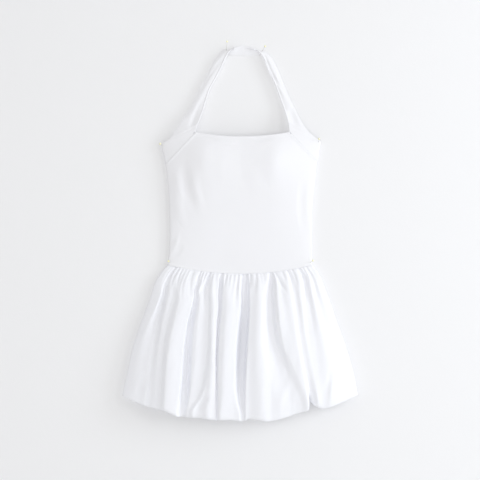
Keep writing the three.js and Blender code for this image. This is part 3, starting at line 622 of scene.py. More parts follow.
def band_sheet(stations, seam, side):
    count, columns = len(stations["own"]), HALTER_COLUMNS.split()
    stations["station"] = np.arange(count, dtype=float)
    past_arm = np.linspace(UNDERARM_STATION, count - 1, 176)
    along = np.concatenate([np.linspace(0, UNDERARM_STATION, 22)[:-1], past_arm])
    share = (1 - np.cos(np.linspace(0, math.pi, 30))) / 2
    rows = []
    for i, at in enumerate(along):
        row = {name: float(reading(stations, "station", at, name)) for name in columns}
        if at <= UNDERARM_STATION:
            k = min(int(at), UNDERARM_STATION - 1)
            for name in ("outer_x", "outer_drop"):
                row[name] = np.interp(at, [k, k + 1], stations[name][k : k + 2])
            row["own"] = 0
        x = row["outer_x"] + (row["inner_x"] - row["outer_x"]) * share
        drop = row["outer_drop"] + (row["inner_drop"] - row["outer_drop"]) * share
        own = row["outer"] + (row["inner"] - row["outer"]) * share
        own = own + row["bow"] * 4 * share * (1 - share)
        if i == 0:
            points = np.array([seam_point(seam, 1 - s, SEAM_GAP / 2, side) for s in share])
            x, drop = points[:, 0], points[:, 1]
        depth = front_form(x, drop) * (1 - row["own"]) + own * row["own"]
        depth = depth + draped(BAND_CREASES, x, drop) * np.sin(math.pi * share) ** 0.5
        width = math.hypot(row["outer_x"] - row["inner_x"], row["outer_drop"] - row["inner_drop"])
        from_rim = (1 - share) * width - RIM_ROLL["from_edge"]
        depth = depth + RIM_ROLL["rise"] * ease(at, 2.5, 6) * hump(from_rim, RIM_ROLL["reach"])
        if at <= UNDERARM_STATION:
            depth[0] = SIDE_DEPTH + SEAM_GAP / 2
        rows.append(np.stack([x, drop, depth], -1))
    return np.array(rows), int(np.sum(along <= UNDERARM_STATION))


def band_finish(side, underarm_rows):
    def finish(facing):
        facing[0, :] = (0, -1, 0)
        facing[:underarm_rows, 0 if side > 0 else -1] = (side, 0, 0)
        facing[-1, :, 0] = 0
        return facing

    return finish


HALVES = ((-1, HALTER_LEFT, SEAM_LEFT, "left"), (1, HALTER_RIGHT, SEAM_RIGHT, "right"))
for side, stations, seam, word in HALVES:
    band_points, underarm_rows = band_sheet(stations, seam, side)
    if side < 0:
        band_points = band_points[:, ::-1]
    band = cloth_wall(
        f"halter_{word}_cloth",
        band_points,
        STRAP_WALL,
        jersey,
        rounded=("left", "right"),
        side_seams=False,
        finish=band_finish(side, underarm_rows),
    )
    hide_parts(f"halter_{word}")
    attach(band, "root")

# Bar tacks: a short close row of strong thread across the inner end of each diagonal seam, where
# the neckline meets the halter band and the pull is greatest. The thread is coloured mid grey as
# painted shade: the grey stands for the dark that these stitches show at the corners.
TACK = {"stitches": 9, "pitch": 0.55, "half": 1.3, "start": 0.8, "sway": 0.12, "slant": 0.2}
THREAD = 0.24
THREAD_LIFT = 0.55
THREAD_SUNK = 0.45
THREAD_SIDES = 6
# Mid grey colour of the tack thread: painted shade, not the thread's own white.
THREAD_PAINTED_SHADE = (0.51, 0.5, 0.55)


def uneven(material, colour, shade, grain, roughness, height):
    """The fine variation of colour, gloss and relief that a small piece's stuff has."""
    gloss = {"Value": grain, "To Min": roughness[0], "To Max": roughness[1]}
    feed(material, shaded(material, colour, shade, grain), "Base Color")
    feed(material, add_node(material, "ShaderNodeMapRange", gloss).outputs["Result"], "Roughness")
    feed(material, relief(material, grain, 0.3, height), "Normal")


thread = plain_material("thread", THREAD_PAINTED_SHADE, 0.8)
twist = bands(thread, place_on(thread), 1000, 0.5, "DIAGONAL")
uneven(thread, THREAD_PAINTED_SHADE, 0.93, twist, (0.72, 0.88), 0.00005)


def tack_piece(name, seam):
    inner = np.array(seam["inner"])
    run = np.array(seam["outer"]) - inner
    run /= np.hypot(*run)
    over = np.array([run[1], -run[0]])
    vertices, faces = [], []
    angles = np.linspace(0, 2 * math.pi, THREAD_SIDES + 1)[:-1]
    for stitch in range(TACK["stitches"]):
        middle = inner + run * (TACK["start"] + TACK["pitch"] * stitch)
        middle = middle + over * TACK["sway"] * (-1) ** stitch
        rings = []
        for share in np.linspace(-1, 1, 7):
            x, drop = middle + over * TACK["half"] * share + run * TACK["slant"] * share
            lift = THREAD_LIFT * (1 - share**4) - THREAD_SUNK
            depth = float(front_form(np.array([x]), np.array([drop]))[0]) + lift
            rings.append(range(len(vertices), len(vertices) + THREAD_SIDES))
            for angle in angles:
                along = THREAD * math.cos(angle)
                out = depth + THREAD * math.sin(angle)
                point = (x + along * run[0], -out, -(drop + along * run[1]))
                vertices.append(tuple(MILLIMETRE * value for value in point))
        for one, two in zip(rings[:-1], rings[1:]):
            for k in range(THREAD_SIDES):
                j = (k + 1) % THREAD_SIDES
                faces.append((one[k], two[k], two[j], one[j]))
        faces.append(tuple(rings[0]))
        faces.append(tuple(reversed(rings[-1])))
    tack = new_piece(name, vertices, faces, thread, False)
    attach(tack, "root")


tack_piece("bar_tack_left", SEAM_LEFT)
tack_piece("bar_tack_right", SEAM_RIGHT)

# The skirt: a front and a back of crisp cotton poplin, gathered into the curved waist seam. The
# cloth hangs in long uneven folds and turns under at the hem, up to an elastic casing inside.
# way runs from 0 at the waist to 1 where the bubble turns under, 2 under it and 3 at the casing.
POPLIN_WALL = 1.2
SKIRT = table(
    "way left right front side",
    [
        (0, -171.5, 153, 16, 6),
        (0.05, -184.5, 164.5, 20, 6.5),
        (0.14, -200.5, 177.5, 27, 7.5),
        (0.22, -207.5, 186.5, 32, 8),
        (0.41, -228.4, 206, 41, 9.5),
        (0.61, -248.3, 227, 47, 11),
        (0.81, -261.8, 244.3, 51, 12),
        (1, -273, 256, 49, 12),
    ],
)
BACK_FACE = 0.6
FULL_ACROSS = 5
HEM = {"drop": 830, "rise": 54, "centre": -9, "half": 266, "turn": 12}
# How far below its bowed line each hem hangs, with the deep notch between two folds at the right.
FRONT_HEM = table(
    "x below",
    [
        (-273, -1), (-250, 1), (-236, 2), (-214, 2), (-196, 0.5), (-180, -0.8), (-166, 2.5),
        (-153, 5), (-133, 3.8), (-115, 0.5), (-99, -1.4), (-80, -0.5), (-61, 0.3), (-52, -1.6),
        (-31, -2.6), (-14, -1), (-3, 0.5), (3, -1.5), (8, -5), (16, -5.1), (36, -1), (50, 3),
        (60, 3.3), (83, 1.4), (101, -1), (117, -4.3), (136, -5.6), (146, -5.5), (147, -9),
        (149, -41), (152, -33), (157, -21), (164, -11), (170, -6), (177, -1), (186, 0.5),
        (204, 1), (218, 0), (240, -1), (256, -3),
    ],
)
BACK_HEM = table(
    "x below", [(-273, -1), (0, -7), (110, -8), (140, -34), (168, -34), (196, -8), (256, -3)]
)
RETURN = {
    "up": 46,
    "front": 29,
    "back": 9,
    "side": 19,
    "left": -222,
    "right": 204,
    "inset": 0.3,
    "round": 10,
}
RETURN_HUG = {"front": 0.5, "back": -0.12}
RETURN_DIP = 0.25
SEAM_SWELL = 1.5
SEAM_ALLOWANCE = 5
TUCKED_UNDER = JERSEY_WALL + 0.3
TIGHTER_AT_SIDES = 0.75
SPREAD_BY_HANG = 0.1
FOLDS_FADE, SEAM_FADE = 12, 40
AT_THE_SEAM = 0.45
HEM_FOLLOWS, HEM_LEAN = 0.12, 0.35
FINE_STEPS = 4000
FLANK_PULL, FLANK_MARGIN = 3.2, 1.5
SIDE_PULL, SIDE_REACH = 8, 2.5
WAYS = np.concatenate([np.linspace(0, 0.14, 24), np.linspace(0.14, 1, 67)[1:]])
TURN_ROWS, RISE_ROWS = 12, 7
# Each valley: its left edge, the two edges of its floor and its right edge as shares of the
# width, and its depth, at these ways.
FOLD_WAYS = np.array([0.02, 0.09, 0.2, 0.35, 0.5, 0.65, 0.8, 0.9, 0.98])
FRONT_VALLEYS = [
    (  # soft dent at the left
        (0.0393, 0.0438, 0.0482, 0.0433, 0.0286, 0.0139, 0.0139, 0.0142, 0.0119),
        (0.0531, 0.0596, 0.0691, 0.0699, 0.0744, 0.0785, 0.0788, 0.0779, 0.078),
        (0.0553, 0.0627, 0.073, 0.0747, 0.0822, 0.0904, 0.0969, 0.1002, 0.1025),
        (0.0686, 0.0793, 0.0925, 0.0988, 0.1148, 0.1262, 0.1316, 0.1345, 0.1367),
        (4.5, 6.3, 10.5, 10, 8.2, 6.5, 5, 4.2, 3.8),
    ),
    (  # shelf left of the broad fold
        (0.0622, 0.0677, 0.0744, 0.0727, 0.0737, 0.075, 0.0822, 0.0873, 0.0892),
        (0.0733, 0.0807, 0.0955, 0.1012, 0.1046, 0.1092, 0.1143, 0.1172, 0.1193),
        (0.0845, 0.0966, 0.1202, 0.1246, 0.1257, 0.1313, 0.136, 0.1387, 0.1408),
        (0.1072, 0.1267, 0.1576, 0.1664, 0.1677, 0.1704, 0.1702, 0.1733, 0.1763),
        (1, 1.2, 2.1, 2.8, 3.4, 4, 4.8, 5, 5),
    ),
    (  # right of the broad fold
        (0.2217, 0.2305, 0.2301, 0.2245, 0.2274, 0.2322, 0.233, 0.2303, 0.2268),
        (0.2309, 0.2406, 0.241, 0.2341, 0.2358, 0.2424, 0.2466, 0.2472, 0.2446),
        (0.2339, 0.2447, 0.2479, 0.2423, 0.2463, 0.2581, 0.2652, 0.2651, 0.257),
        (0.2426, 0.2566, 0.2683, 0.2688, 0.2771, 0.2824, 0.2824, 0.2812, 0.2743),
        (4, 5.3, 8.3, 11.2, 12.8, 13.6, 13.1, 10.7, 6.6),
    ),
    (  # sweeps left to the hem
        (0.2788, 0.2688, 0.2329, 0.2207, 0.2243, 0.2308, 0.2339, 0.2324, 0.2309),
        (0.294, 0.2936, 0.2618, 0.2509, 0.2574, 0.2651, 0.2619, 0.2579, 0.252),
        (0.2978, 0.3078, 0.3201, 0.334, 0.3435, 0.3401, 0.33, 0.3113, 0.2765),
        (0.3105, 0.3252, 0.3387, 0.3524, 0.3631, 0.363, 0.3504, 0.3347, 0.3025),
        (3.5, 4.1, 5, 5.4, 5.9, 6.5, 6.8, 6.6, 5.8),
    ),
    (  # narrow, left of the middle
        (0.3577, 0.3697, 0.3753, 0.3781, 0.3837, 0.3865, 0.389, 0.3912, 0.394),
        (0.3701, 0.381, 0.3863, 0.3882, 0.3922, 0.3945, 0.396, 0.3977, 0.4004),
        (0.3806, 0.3895, 0.3914, 0.3916, 0.3942, 0.396, 0.3973, 0.3989, 0.4012),
        (0.3951, 0.4036, 0.404, 0.4018, 0.4027, 0.4036, 0.4042, 0.4058, 0.4089),
        (6, 7.6, 8, 8, 8, 7.6, 6.5, 5.4, 4),
    ),
    (  # deepest, in the middle
        (0.4964, 0.5011, 0.4984, 0.4886, 0.4792, 0.4744, 0.4716, 0.4789, 0.4951),
        (0.5192, 0.5254, 0.5253, 0.5171, 0.5079, 0.5015, 0.4975, 0.5025, 0.5104),
        (0.5459, 0.5512, 0.5473, 0.5394, 0.5307, 0.5208, 0.5127, 0.5126, 0.515),
        (0.566, 0.5688, 0.5635, 0.5553, 0.5451, 0.5336, 0.5254, 0.5233, 0.5237),
        (9, 10.7, 14.6, 21.4, 24.9, 22.5, 16.4, 10.8, 6.3),
    ),
    (  # right of the round fold
        (0.6839, 0.6585, 0.6265, 0.6095, 0.6037, 0.6098, 0.6295, 0.6518, 0.6589),
        (0.7065, 0.6952, 0.6797, 0.6727, 0.671, 0.6782, 0.7037, 0.7245, 0.7356),
        (0.7116, 0.7009, 0.6863, 0.6795, 0.6811, 0.6993, 0.7299, 0.7494, 0.7609),
        (0.7256, 0.7175, 0.7051, 0.6991, 0.7064, 0.743, 0.7686, 0.7815, 0.7902),
        (6, 7.3, 9.3, 10.8, 9.7, 6.4, 4.7, 3.9, 3.5),
    ),
    (  # towards the notch
        (0.8139, 0.8094, 0.8005, 0.7949, 0.7899, 0.7862, 0.7873, 0.7914, 0.7956),
        (0.8266, 0.8237, 0.8173, 0.8109, 0.8037, 0.7995, 0.7977, 0.7997, 0.8027),
        (0.8332, 0.8305, 0.8245, 0.8188, 0.8121, 0.8071, 0.8059, 0.808, 0.811),
        (0.8518, 0.8516, 0.8503, 0.8453, 0.8366, 0.8318, 0.8324, 0.834, 0.8355),
        (2, 1.8, 1.5, 1.3, 1.2, 1.3, 2.7, 4.4, 6),
    ),
    (  # wide, fading downwards
        (0.8937, 0.8871, 0.8617, 0.8399, 0.824, 0.8155, 0.8153, 0.8188, 0.8231),
        (0.9047, 0.9006, 0.8807, 0.8611, 0.8471, 0.8408, 0.8397, 0.8402, 0.8417),
        (0.9111, 0.9078, 0.8919, 0.8773, 0.8651, 0.8574, 0.8535, 0.8522, 0.8522),
        (0.926, 0.9251, 0.9199, 0.9159, 0.914, 0.9119, 0.9036, 0.896, 0.8951),
        (5.5, 5.6, 5.7, 3.9, 2.2, 1.3, 1.1, 1.1, 1),
    ),
    (  # short, at the right
        (0.945, 0.9407, 0.9274, 0.9132, 0.9026, 0.8994, 0.9007, 0.9015, 0.902),
        (0.954, 0.95, 0.9391, 0.9323, 0.9302, 0.9298, 0.93, 0.9302, 0.9304),
        (0.9574, 0.954, 0.9435, 0.9397, 0.9434, 0.947, 0.9467, 0.9466, 0.9464),
        (0.9698, 0.9689, 0.9657, 0.9734, 0.9807, 0.9885, 0.984, 0.98, 0.9767),
        (3.5, 4.2, 5, 2.3, 0.9, 0.6, 0.5, 0.5, 0.4),
    ),
]
BACK_WAYS = np.array([0.1, 0.3, 0.6, 0.95])
BACK_VALLEYS = [
    (
        (0.065, 0.06, 0.057, 0.055), (0.087, 0.079, 0.074, 0.07), (0.088, 0.091, 0.09, 0.09),
        (0.11, 0.11, 0.107, 0.105), (1, 2, 2, 1),
    ),
    (
        (0.175, 0.165, 0.16, 0.18), (0.202, 0.189, 0.181, 0.199), (0.214, 0.206, 0.207, 0.228),
        (0.23, 0.22, 0.22, 0.24), (2, 5, 5, 3),
    ),
    (
        (0.285, 0.29, 0.3, 0.28), (0.301, 0.304, 0.313, 0.292), (0.308, 0.316, 0.328, 0.31),
        (0.33, 0.335, 0.345, 0.325), (2, 4, 4, 3),
    ),
    (
        (0.4, 0.395, 0.39, 0.4), (0.422, 0.414, 0.407, 0.415), (0.438, 0.436, 0.433, 0.445),
        (0.46, 0.455, 0.45, 0.46), (2, 5, 5, 4),
    ),
    (
        (0.53, 0.54, 0.545, 0.52), (0.544, 0.552, 0.556, 0.53), (0.546, 0.559, 0.566, 0.543),
        (0.57, 0.58, 0.585, 0.56), (2, 4, 4, 3),
    ),
    (
        (0.63, 0.635, 0.65, 0.66), (0.654, 0.656, 0.669, 0.677), (0.674, 0.681, 0.692, 0.708),
        (0.69, 0.695, 0.705, 0.72), (2, 5, 5, 3),
    ),
    (
        (0.77, 0.775, 0.78, 0.77), (0.789, 0.791, 0.795, 0.783), (0.791, 0.804, 0.81, 0.797),
        (0.81, 0.82, 0.825, 0.81), (2, 4, 4, 3),
    ),
    (
        (0.885, 0.89, 0.89, 0.895), (0.907, 0.909, 0.907, 0.91), (0.908, 0.916, 0.923, 0.93),
        (0.93, 0.935, 0.94, 0.945), (1, 2, 2, 1),
    ),
]


def at_way(fold, way):
    ways = FOLD_WAYS if len(fold[0]) == len(FOLD_WAYS) else BACK_WAYS
    return [np.interp(way, ways, values) for values in fold]


def valley_depth(valleys, across, way):
    total = np.zeros_like(across)
    for valley in valleys:
        start, floor_start, floor_end, end, depth = at_way(valley, way)
        grown = depth * (AT_THE_SEAM + (1 - AT_THE_SEAM) * ease(way, 0, 0.07))
        total += grown * ease(across, start, floor_start) * (1 - ease(across, floor_end, end))
    return total


def hem_turn(across):
    return HEM["turn"] * (1 - TIGHTER_AT_SIDES * np.abs(2 * across - 1) ** 14)


def drawn_columns(valleys, level, count):
    """Columns of the mesh, closer together on the flanks of the folds and at the sides."""
    width = float(reading(SKIRT, "way", level, "right") - reading(SKIRT, "way", level, "left"))
    fine = np.linspace(0, 1, FINE_STEPS)
    pull = np.ones_like(fine)
    for valley in valleys:
        start, floor_start, floor_end, end, _ = at_way(valley, level)
        for low, high in ((start, floor_start), (floor_end, end)):
            middle, half = (low + high) / 2, (high - low) / 2 + FLANK_MARGIN / width
            pull += FLANK_PULL * hump(fine - middle, half)
    for off in (fine, 1 - fine):
        pull += SIDE_PULL * np.exp(-off * width / SIDE_REACH)
    total = np.concatenate([[0], np.cumsum((pull[1:] + pull[:-1]) / 2)])
    return np.interp(np.linspace(0, 1, count), total / total[-1], fine)


def skirt_sheet(faces, valleys, hem, columns, detail):
    forward = 1 if faces == "front" else -1

    def form(across, way):
        names = ("left", "right", "side", "front")
        left, right, side, front = (reading(SKIRT, "way", way, name) for name in names)
        share = across if forward > 0 else 1 - across
        reach = np.clip(np.abs(2 * across - 1), 0, 1)
        from_side = (1 - reach) * (right - left) / 2
        crown = front if forward > 0 else 2 * side - BACK_FACE
        full = (crown - side - SIDE_ROUND) * (1 - reach**FULL_ACROSS)
        depth = side + forward * (SIDE_ROUND * quarter(from_side / SIDE_ROUND) + full)
        return left, right, side, share, reach, depth

    def outside(across, way):
        left, right, _, share, _, depth = form(across, way)
        waist_x = SKIRT["left"][0] + (SKIRT["right"][0] - SKIRT["left"][0]) * share
        hem_x = SKIRT["left"][-1] + (SKIRT["right"][-1] - SKIRT["left"][-1]) * share
        top, bottom = bowed(WAIST, waist_x), bowed(HEM, hem_x) - hem_turn(across)
        folds = detail(across, way, right - left) - valley_depth(valleys, across, way)
        depth = depth + forward * folds * between_sides(across, FOLDS_FADE)
        hang = np.interp(hem_x, hem["x"], hem["below"]) * way**5
        x = left + (right - left) * share + SPREAD_BY_HANG * hang
        return x, top + (bottom - top) * way + hang, depth

    def inside(across, rise):
        _, _, side, share, reach, depth = form(across, 1.0)
        sewn = RETURN["left"] + (RETURN["right"] - RETURN["left"]) * share
        start_x, start_drop, _ = outside(across, 1.0)
        x = start_x + (sewn - start_x) * RETURN["inset"]
        x = x + (sewn - x) * rise
        drop = start_drop + (bowed(HEM, sewn) - RETURN["up"] - start_drop) * rise
        curve = quarter((1 - reach) * (RETURN["right"] - RETURN["left"]) / 2 / RETURN["round"])
        dip = forward * RETURN_DIP * valley_depth(valleys, across, 1.0)
        dip = dip * between_sides(across, FOLDS_FADE)
        start_depth = side + (depth - side) * RETURN_HUG[faces] - dip
        sewn_depth = RETURN["side"] + (RETURN[faces] - RETURN["side"]) * curve
        return x, drop, start_depth + (sewn_depth - start_depth) * rise

    turns = 1 + np.linspace(0, 1, TURN_ROWS + 1)[1:]
    rises = 2 + np.linspace(0, 1, RISE_ROWS + 1)[1:]
    rows = []
    for way in np.concatenate([WAYS, turns, rises]):
        across = drawn_columns(valleys, min(way, 1.0), columns)
        if way <= 1:
            x, drop, depth = outside(across, way)
        elif way <= 2:
            angle = (way - 1) * math.pi
            first, last = np.array(outside(across, 1.0)), np.array(inside(across, 0.0))
            turn = valley_depth(valleys, across, 1.0) * between_sides(across, FOLDS_FADE)
            turn = hem_turn(across) - HEM_FOLLOWS * turn
            lean = math.cos(angle - HEM_LEAN * math.sin(angle))
            x, drop, depth = (first + last) / 2 + (first - last) / 2 * lean
            drop = drop + turn * math.sin(angle)
        else:
            x, drop, depth = inside(across, way - 2)
        if way == 0:
            drop = drop + SEAM_GAP / 2
        swell = SEAM_SWELL * ease(way, -0.008, 0.01) * (1 - ease(way, 0.02, 0.2))
        depth = depth + forward * swell * between_sides(across, SEAM_FADE)
        depth[0] += forward * SEAM_GAP / 2
        depth[-1] += forward * SEAM_GAP / 2
        if way == 0:
            tucked = forward * TUCKED_UNDER * between_sides(across, SEAM_FADE)
            tucked = form(across, 0.0)[5] - tucked
            for up in (SEAM_ALLOWANCE, 0.15):
                rows.append(np.stack([x, drop - up, tucked], -1))
        rows.append(np.stack([x, drop, depth], -1))
    return np.array(rows)


# Small gathers at the waist: where each dark pinch starts and ends, as shares of the width, how
# far down it reaches, its depth and its half width.
FRONT_PINCHES = table(
    "top end way depth half",
    [
        (0.018, 0.01, 0.12, 2, 2.6),
        (0.037, 0.05, 0.17, 2.6, 2.4),
        (0.06, 0.09, 0.2, 2.6, 2.2),
        (0.082, 0.1, 0.16, 2.4, 2),
        (0.105, 0.135, 0.14, 2.2, 2),
        (0.13, 0.15, 0.17, 2, 2),
        (0.15, 0.172, 0.22, 2.4, 2.2),
        (0.172, 0.19, 0.15, 2.2, 2.2),
        (0.185, 0.225, 0.2, 2.8, 2.6),
        (0.228, 0.232, 0.22, 1.6, 2.4),
        (0.248, 0.258, 0.11, 3, 1.8),
        (0.268, 0.275, 0.15, 3, 2.2),
        (0.295, 0.295, 0.22, 3.4, 2.2),
        (0.315, 0.328, 0.2, 1.6, 2),
        (0.34, 0.345, 0.09, 1.8, 1.8),
        (0.376, 0.383, 0.12, 1.6, 2.2),
        (0.41, 0.412, 0.09, 3.6, 2),
        (0.432, 0.434, 0.11, 2.4, 2),
        (0.46, 0.452, 0.16, 2.4, 2.2),
        (0.49, 0.478, 0.22, 3.4, 2.4),
        (0.522, 0.514, 0.16, 2.2, 2.2),
        (0.546, 0.543, 0.2, 2.4, 2.6),
        (0.572, 0.566, 0.1, 4.2, 2.2),
        (0.612, 0.592, 0.15, 3, 2.4),
        (0.638, 0.64, 0.09, 2, 2),
        (0.66, 0.655, 0.08, 1.8, 2),
        (0.704, 0.69, 0.18, 1.8, 2.4),
        (0.722, 0.712, 0.2, 3, 2.2),
        (0.74, 0.782, 0.16, 3, 2.2),
        (0.79, 0.79, 0.09, 2.6, 2.2),
        (0.826, 0.82, 0.12, 2, 2.2),
        (0.858, 0.85, 0.14, 2.6, 2.2),
        (0.9, 0.886, 0.2, 2, 3),
        (0.93, 0.92, 0.14, 2.6, 2.2),
        (0.955, 0.94, 0.12, 2.2, 2),
        (0.978, 0.97, 0.1, 1.8, 2),
    ],
)
# Long soft ridges on the crowns between the valleys: path, the widths of the left and the right
# flank in millimetres, and height, at the same ways.
FRONT_RIDGES = [
    (  # on the shelf
        (0.0957, 0.0957, 0.0983, 0.1051, 0.1125, 0.1136, 0.1123, 0.114, 0.1154),
        (4, 4, 5.3, 6.7, 7.7, 8.4, 9, 8.5, 8.1),
        (6, 6, 7.3, 8.7, 9.7, 10, 10, 9, 8.1),
        (0.8, 0.8, 1.1, 1.2, 1.2, 1, 0.6, 0.3, 0),
    ),
    (  # broad fold
        (0.154, 0.1551, 0.1653, 0.163, 0.1638, 0.1689, 0.1741, 0.1774, 0.1795),
        (12, 12.2, 13.7, 14, 14, 13, 11.5, 10.6, 10),
        (26, 26.2, 27.7, 30.7, 34.4, 37, 37.5, 36.6, 36),
        (2.4, 2.5, 3.7, 4.9, 5.9, 6.3, 6.2, 5.8, 5.6),
    ),
    (  # faint, in the wide valley
        (0.26, 0.2689, 0.2749, 0.2804, 0.2882, 0.2934, 0.2898, 0.2842, 0.2828),
        (5, 5, 5.6, 5.6, 5, 5, 5.4, 5.9, 6),
        (8, 8.6, 10.3, 12.3, 14, 14, 13.1, 12.2, 12),
        (2.2, 2.3, 2, 1.5, 1.2, 1.2, 0.8, 0.4, 0.3),
    ),
    (  # bright edge
        (0.3298, 0.3378, 0.3519, 0.3614, 0.37, 0.3741, 0.3691, 0.3635, 0.3612),
        (8, 8.4, 9, 9, 9.1, 9.8, 10.9, 11.7, 12),
        (8, 8, 7.9, 6.9, 6.1, 6.8, 10.5, 13.7, 15),
        (2.5, 2.5, 2.6, 2.5, 2.4, 2.4, 2.9, 3.4, 3.6),
    ),
    (  # flat fold
        (0.4282, 0.4312, 0.4352, 0.4329, 0.4305, 0.4265, 0.4224, 0.4196, 0.4177),
        (14, 14.8, 15.9, 15, 14, 11.7, 9.6, 8.6, 8),
        (18, 21.3, 26.2, 28, 29.9, 31.2, 32.4, 33.4, 34),
        (2.4, 3.3, 4.6, 4.9, 5.2, 4.9, 4.4, 3.9, 3.6),
    ),
    (  # round fold
        (0.6218, 0.6192, 0.6144, 0.6053, 0.5971, 0.5929, 0.5926, 0.5932, 0.5936),
        (14, 16.3, 20.1, 22.3, 24.5, 27.3, 28.8, 29.6, 30),
        (20, 20, 20.1, 21.1, 22.5, 25.3, 24.3, 22.8, 22),
        (3.5, 4.1, 5, 5.3, 5.5, 5.5, 5.3, 5.1, 5),
    ),
    (  # lip beside it
        (0.7345, 0.7262, 0.7152, 0.7124, 0.7171, 0.7263, 0.7301, 0.7301, 0.7301),
        (2.5, 2.8, 3.2, 4.4, 6.1, 7.4, 8, 8, 8),
        (8, 11.4, 17, 21.4, 23.8, 21.1, 20, 20, 20),
        (2.4, 3.3, 4.5, 4.3, 2.9, 1.3, 0.6, 0.6, 0.6),
    ),
    (  # long fold to the notch
        (0.7974, 0.7955, 0.7899, 0.7835, 0.7803, 0.7778, 0.7803, 0.7851, 0.7874),
        (12, 15.7, 21.6, 25, 27.3, 30.4, 31.3, 30.4, 30),
        (9, 9.9, 11.4, 11.8, 11.2, 9.8, 8, 6.6, 6),
        (2, 2.5, 3.2, 3.4, 3.4, 3.4, 3.3, 3.2, 3.2),
    ),
    (  # beside the notch
        (0.8696, 0.8657, 0.8514, 0.8389, 0.828, 0.8242, 0.8243, 0.8272, 0.8291),
        (10, 9.8, 9.2, 9.4, 9.9, 11.2, 11.5, 10.6, 10),
        (9, 8.6, 7.3, 9.9, 13.5, 15.2, 14.4, 11.7, 10),
        (2.2, 2.2, 2.2, 1.6, 0.9, 0.6, 0.6, 0.9, 1),
    ),
    (  # right plane
        (0.9335, 0.9319, 0.9197, 0.912, 0.9082, 0.9018, 0.8943, 0.8903, 0.8872),
        (7, 7.2, 8.5, 12.8, 18.2, 21.8, 23.5, 21.7, 20.3),
        (5, 5.2, 6.5, 13.5, 22.9, 29.6, 34, 34, 34),
        (2, 2, 2, 2.2, 2.5, 2.6, 2.5, 2.1, 1.9),
    ),
    (  # right edge
        (0.9955, 0.9955, 0.9956, 0.9985, 1.0014, 1.0008, 0.994, 0.9894, 0.9857),
        (10, 10, 10, 10.8, 11.5, 12, 12, 12, 12),
        (9, 9, 9, 9, 9, 9, 9, 9, 9),
        (1, 1, 1, 1.1, 1.2, 1.2, 1.1, 1.1, 1),
    ),
]
# Short folds near the hem, each from its upper to its lower end.
HEM_FOLDS = table(
    "across way across_end way_end half height",
    [
        (0.115, 0.72, 0.062, 1.0, 15, -1.6),
        (0.925, 0.74, 0.86, 1.0, 13, -1.5),
        (0.935, 0.72, 0.885, 1.0, 9, 1.4),
        (0.74, 0.74, 0.66, 0.98, 16, 1.8),
        (0.06, 0.5, 0.04, 0.9, 14, 0.9),
        (0.36, 0.86, 0.312, 1.02, 12, -3.4),
    ],
)
SKIRT_WIDTH, SKIRT_DROP = 530, 320
PINCH_FADES = (0.35, 1.25)
BACK_GATHERS = 30


def pinch(across, way, width, centre, reach, depth, half):
    off = np.abs(across - centre) * width / (half * (1 + 0.5 * way / reach))
    fading, gone = (share * reach for share in PINCH_FADES)
    return depth * (1 - ease(way, fading, gone)) * np.exp(-(off**1.6))


def crumpled(across, way, width, waves):
    """Uneven waves of the crisp cloth, each with its height, length, quickness and place."""
    total = np.zeros_like(across)
    for height, length, quick, place in waves:
        spots = [Vector((a * width / length, way * quick, place)) for a in across]
        total += height * np.array([noise.noise(spot) for spot in spots])
    return total


def front_detail(across, way, width):
    total = np.zeros_like(across)
    starts, ends, reaches, depths, halves = FRONT_PINCHES.values()
    for start, end, reach, depth, half in zip(starts, ends, reaches, depths, halves):
        if way <= reach * PINCH_FADES[1]:
            centre = start + (end - start) * (way / reach) ** 1.3
            grown = 0.55 + 0.45 * ease(way, 0, 0.02)
            total -= pinch(across, way, width, centre, reach, depth, half) * grown
    for ridge in FRONT_RIDGES:
        centre, left_flank, right_flank, height = at_way(ridge, way)
        off = (across - centre) * width
        off = np.abs(off) / np.where(off < 0, left_flank, right_flank)
        total += height * ease(way, -0.03, 0.08) * (1 - np.minimum(off, 1) ** 2) ** 2
    folds = {
        "x": HEM_FOLDS["across"] * SKIRT_WIDTH,
        "x_end": HEM_FOLDS["across_end"] * SKIRT_WIDTH,
        "drop": HEM_FOLDS["way"] * SKIRT_DROP,
        "drop_end": HEM_FOLDS["way_end"] * SKIRT_DROP,
        "half": HEM_FOLDS["half"],
        "height": HEM_FOLDS["height"],
    }
    total += draped(folds, across * SKIRT_WIDTH, np.full_like(across, way * SKIRT_DROP))
    crumple = crumpled(across, way, width, ((1, 26, 4.5, 3.1), (0.5, 11, 9, 8.7)))
    return total + 0.7 * ease(way, 0.03, 0.25) * crumple


def back_detail(across, way, width):
    rng = np.random.default_rng(4)
    starts = np.arange(1, BACK_GATHERS + 1) + rng.uniform(-0.25, 0.25, BACK_GATHERS)
    starts /= BACK_GATHERS + 1
    spans = ((0.08, 0.22), (1, 2.2), (-0.015, 0.015))
    reaches, depths, drift = (rng.uniform(*span, BACK_GATHERS) for span in spans)
    total = np.zeros_like(across)
    for start, reach, depth, lean in zip(starts, reaches, depths, drift):
        centre = start + lean * way / reach
        total -= pinch(across, way, width, centre, reach, depth, 2.4)
    crumple = crumpled(across, way, width, ((1, 26, 4.5, 23.1),))
    return (total + 0.4 * ease(way, 0.03, 0.25) * crumple) * 0.8


POPLIN_COLOUR = (0.855, 0.861, 0.902)
poplin = cloth_material("poplin", POPLIN_COLOUR, 0.9, (620, 620), 0.4, (90, 0.1), 0.05)
front_skirt = cloth_wall(
    "front_skirt_cloth",
    skirt_sheet("front", FRONT_VALLEYS, FRONT_HEM, 410, front_detail),
    POPLIN_WALL,
    poplin,
    finish=level_ends,
)
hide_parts("front_skirt")
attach(front_skirt, "root")
back_skirt = cloth_wall(
    "back_skirt_cloth",
    skirt_sheet("back", BACK_VALLEYS, BACK_HEM, 300, back_detail),
    POPLIN_WALL,
    poplin,
    finish=level_ends,
)
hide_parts("back_skirt")
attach(back_skirt, "root")

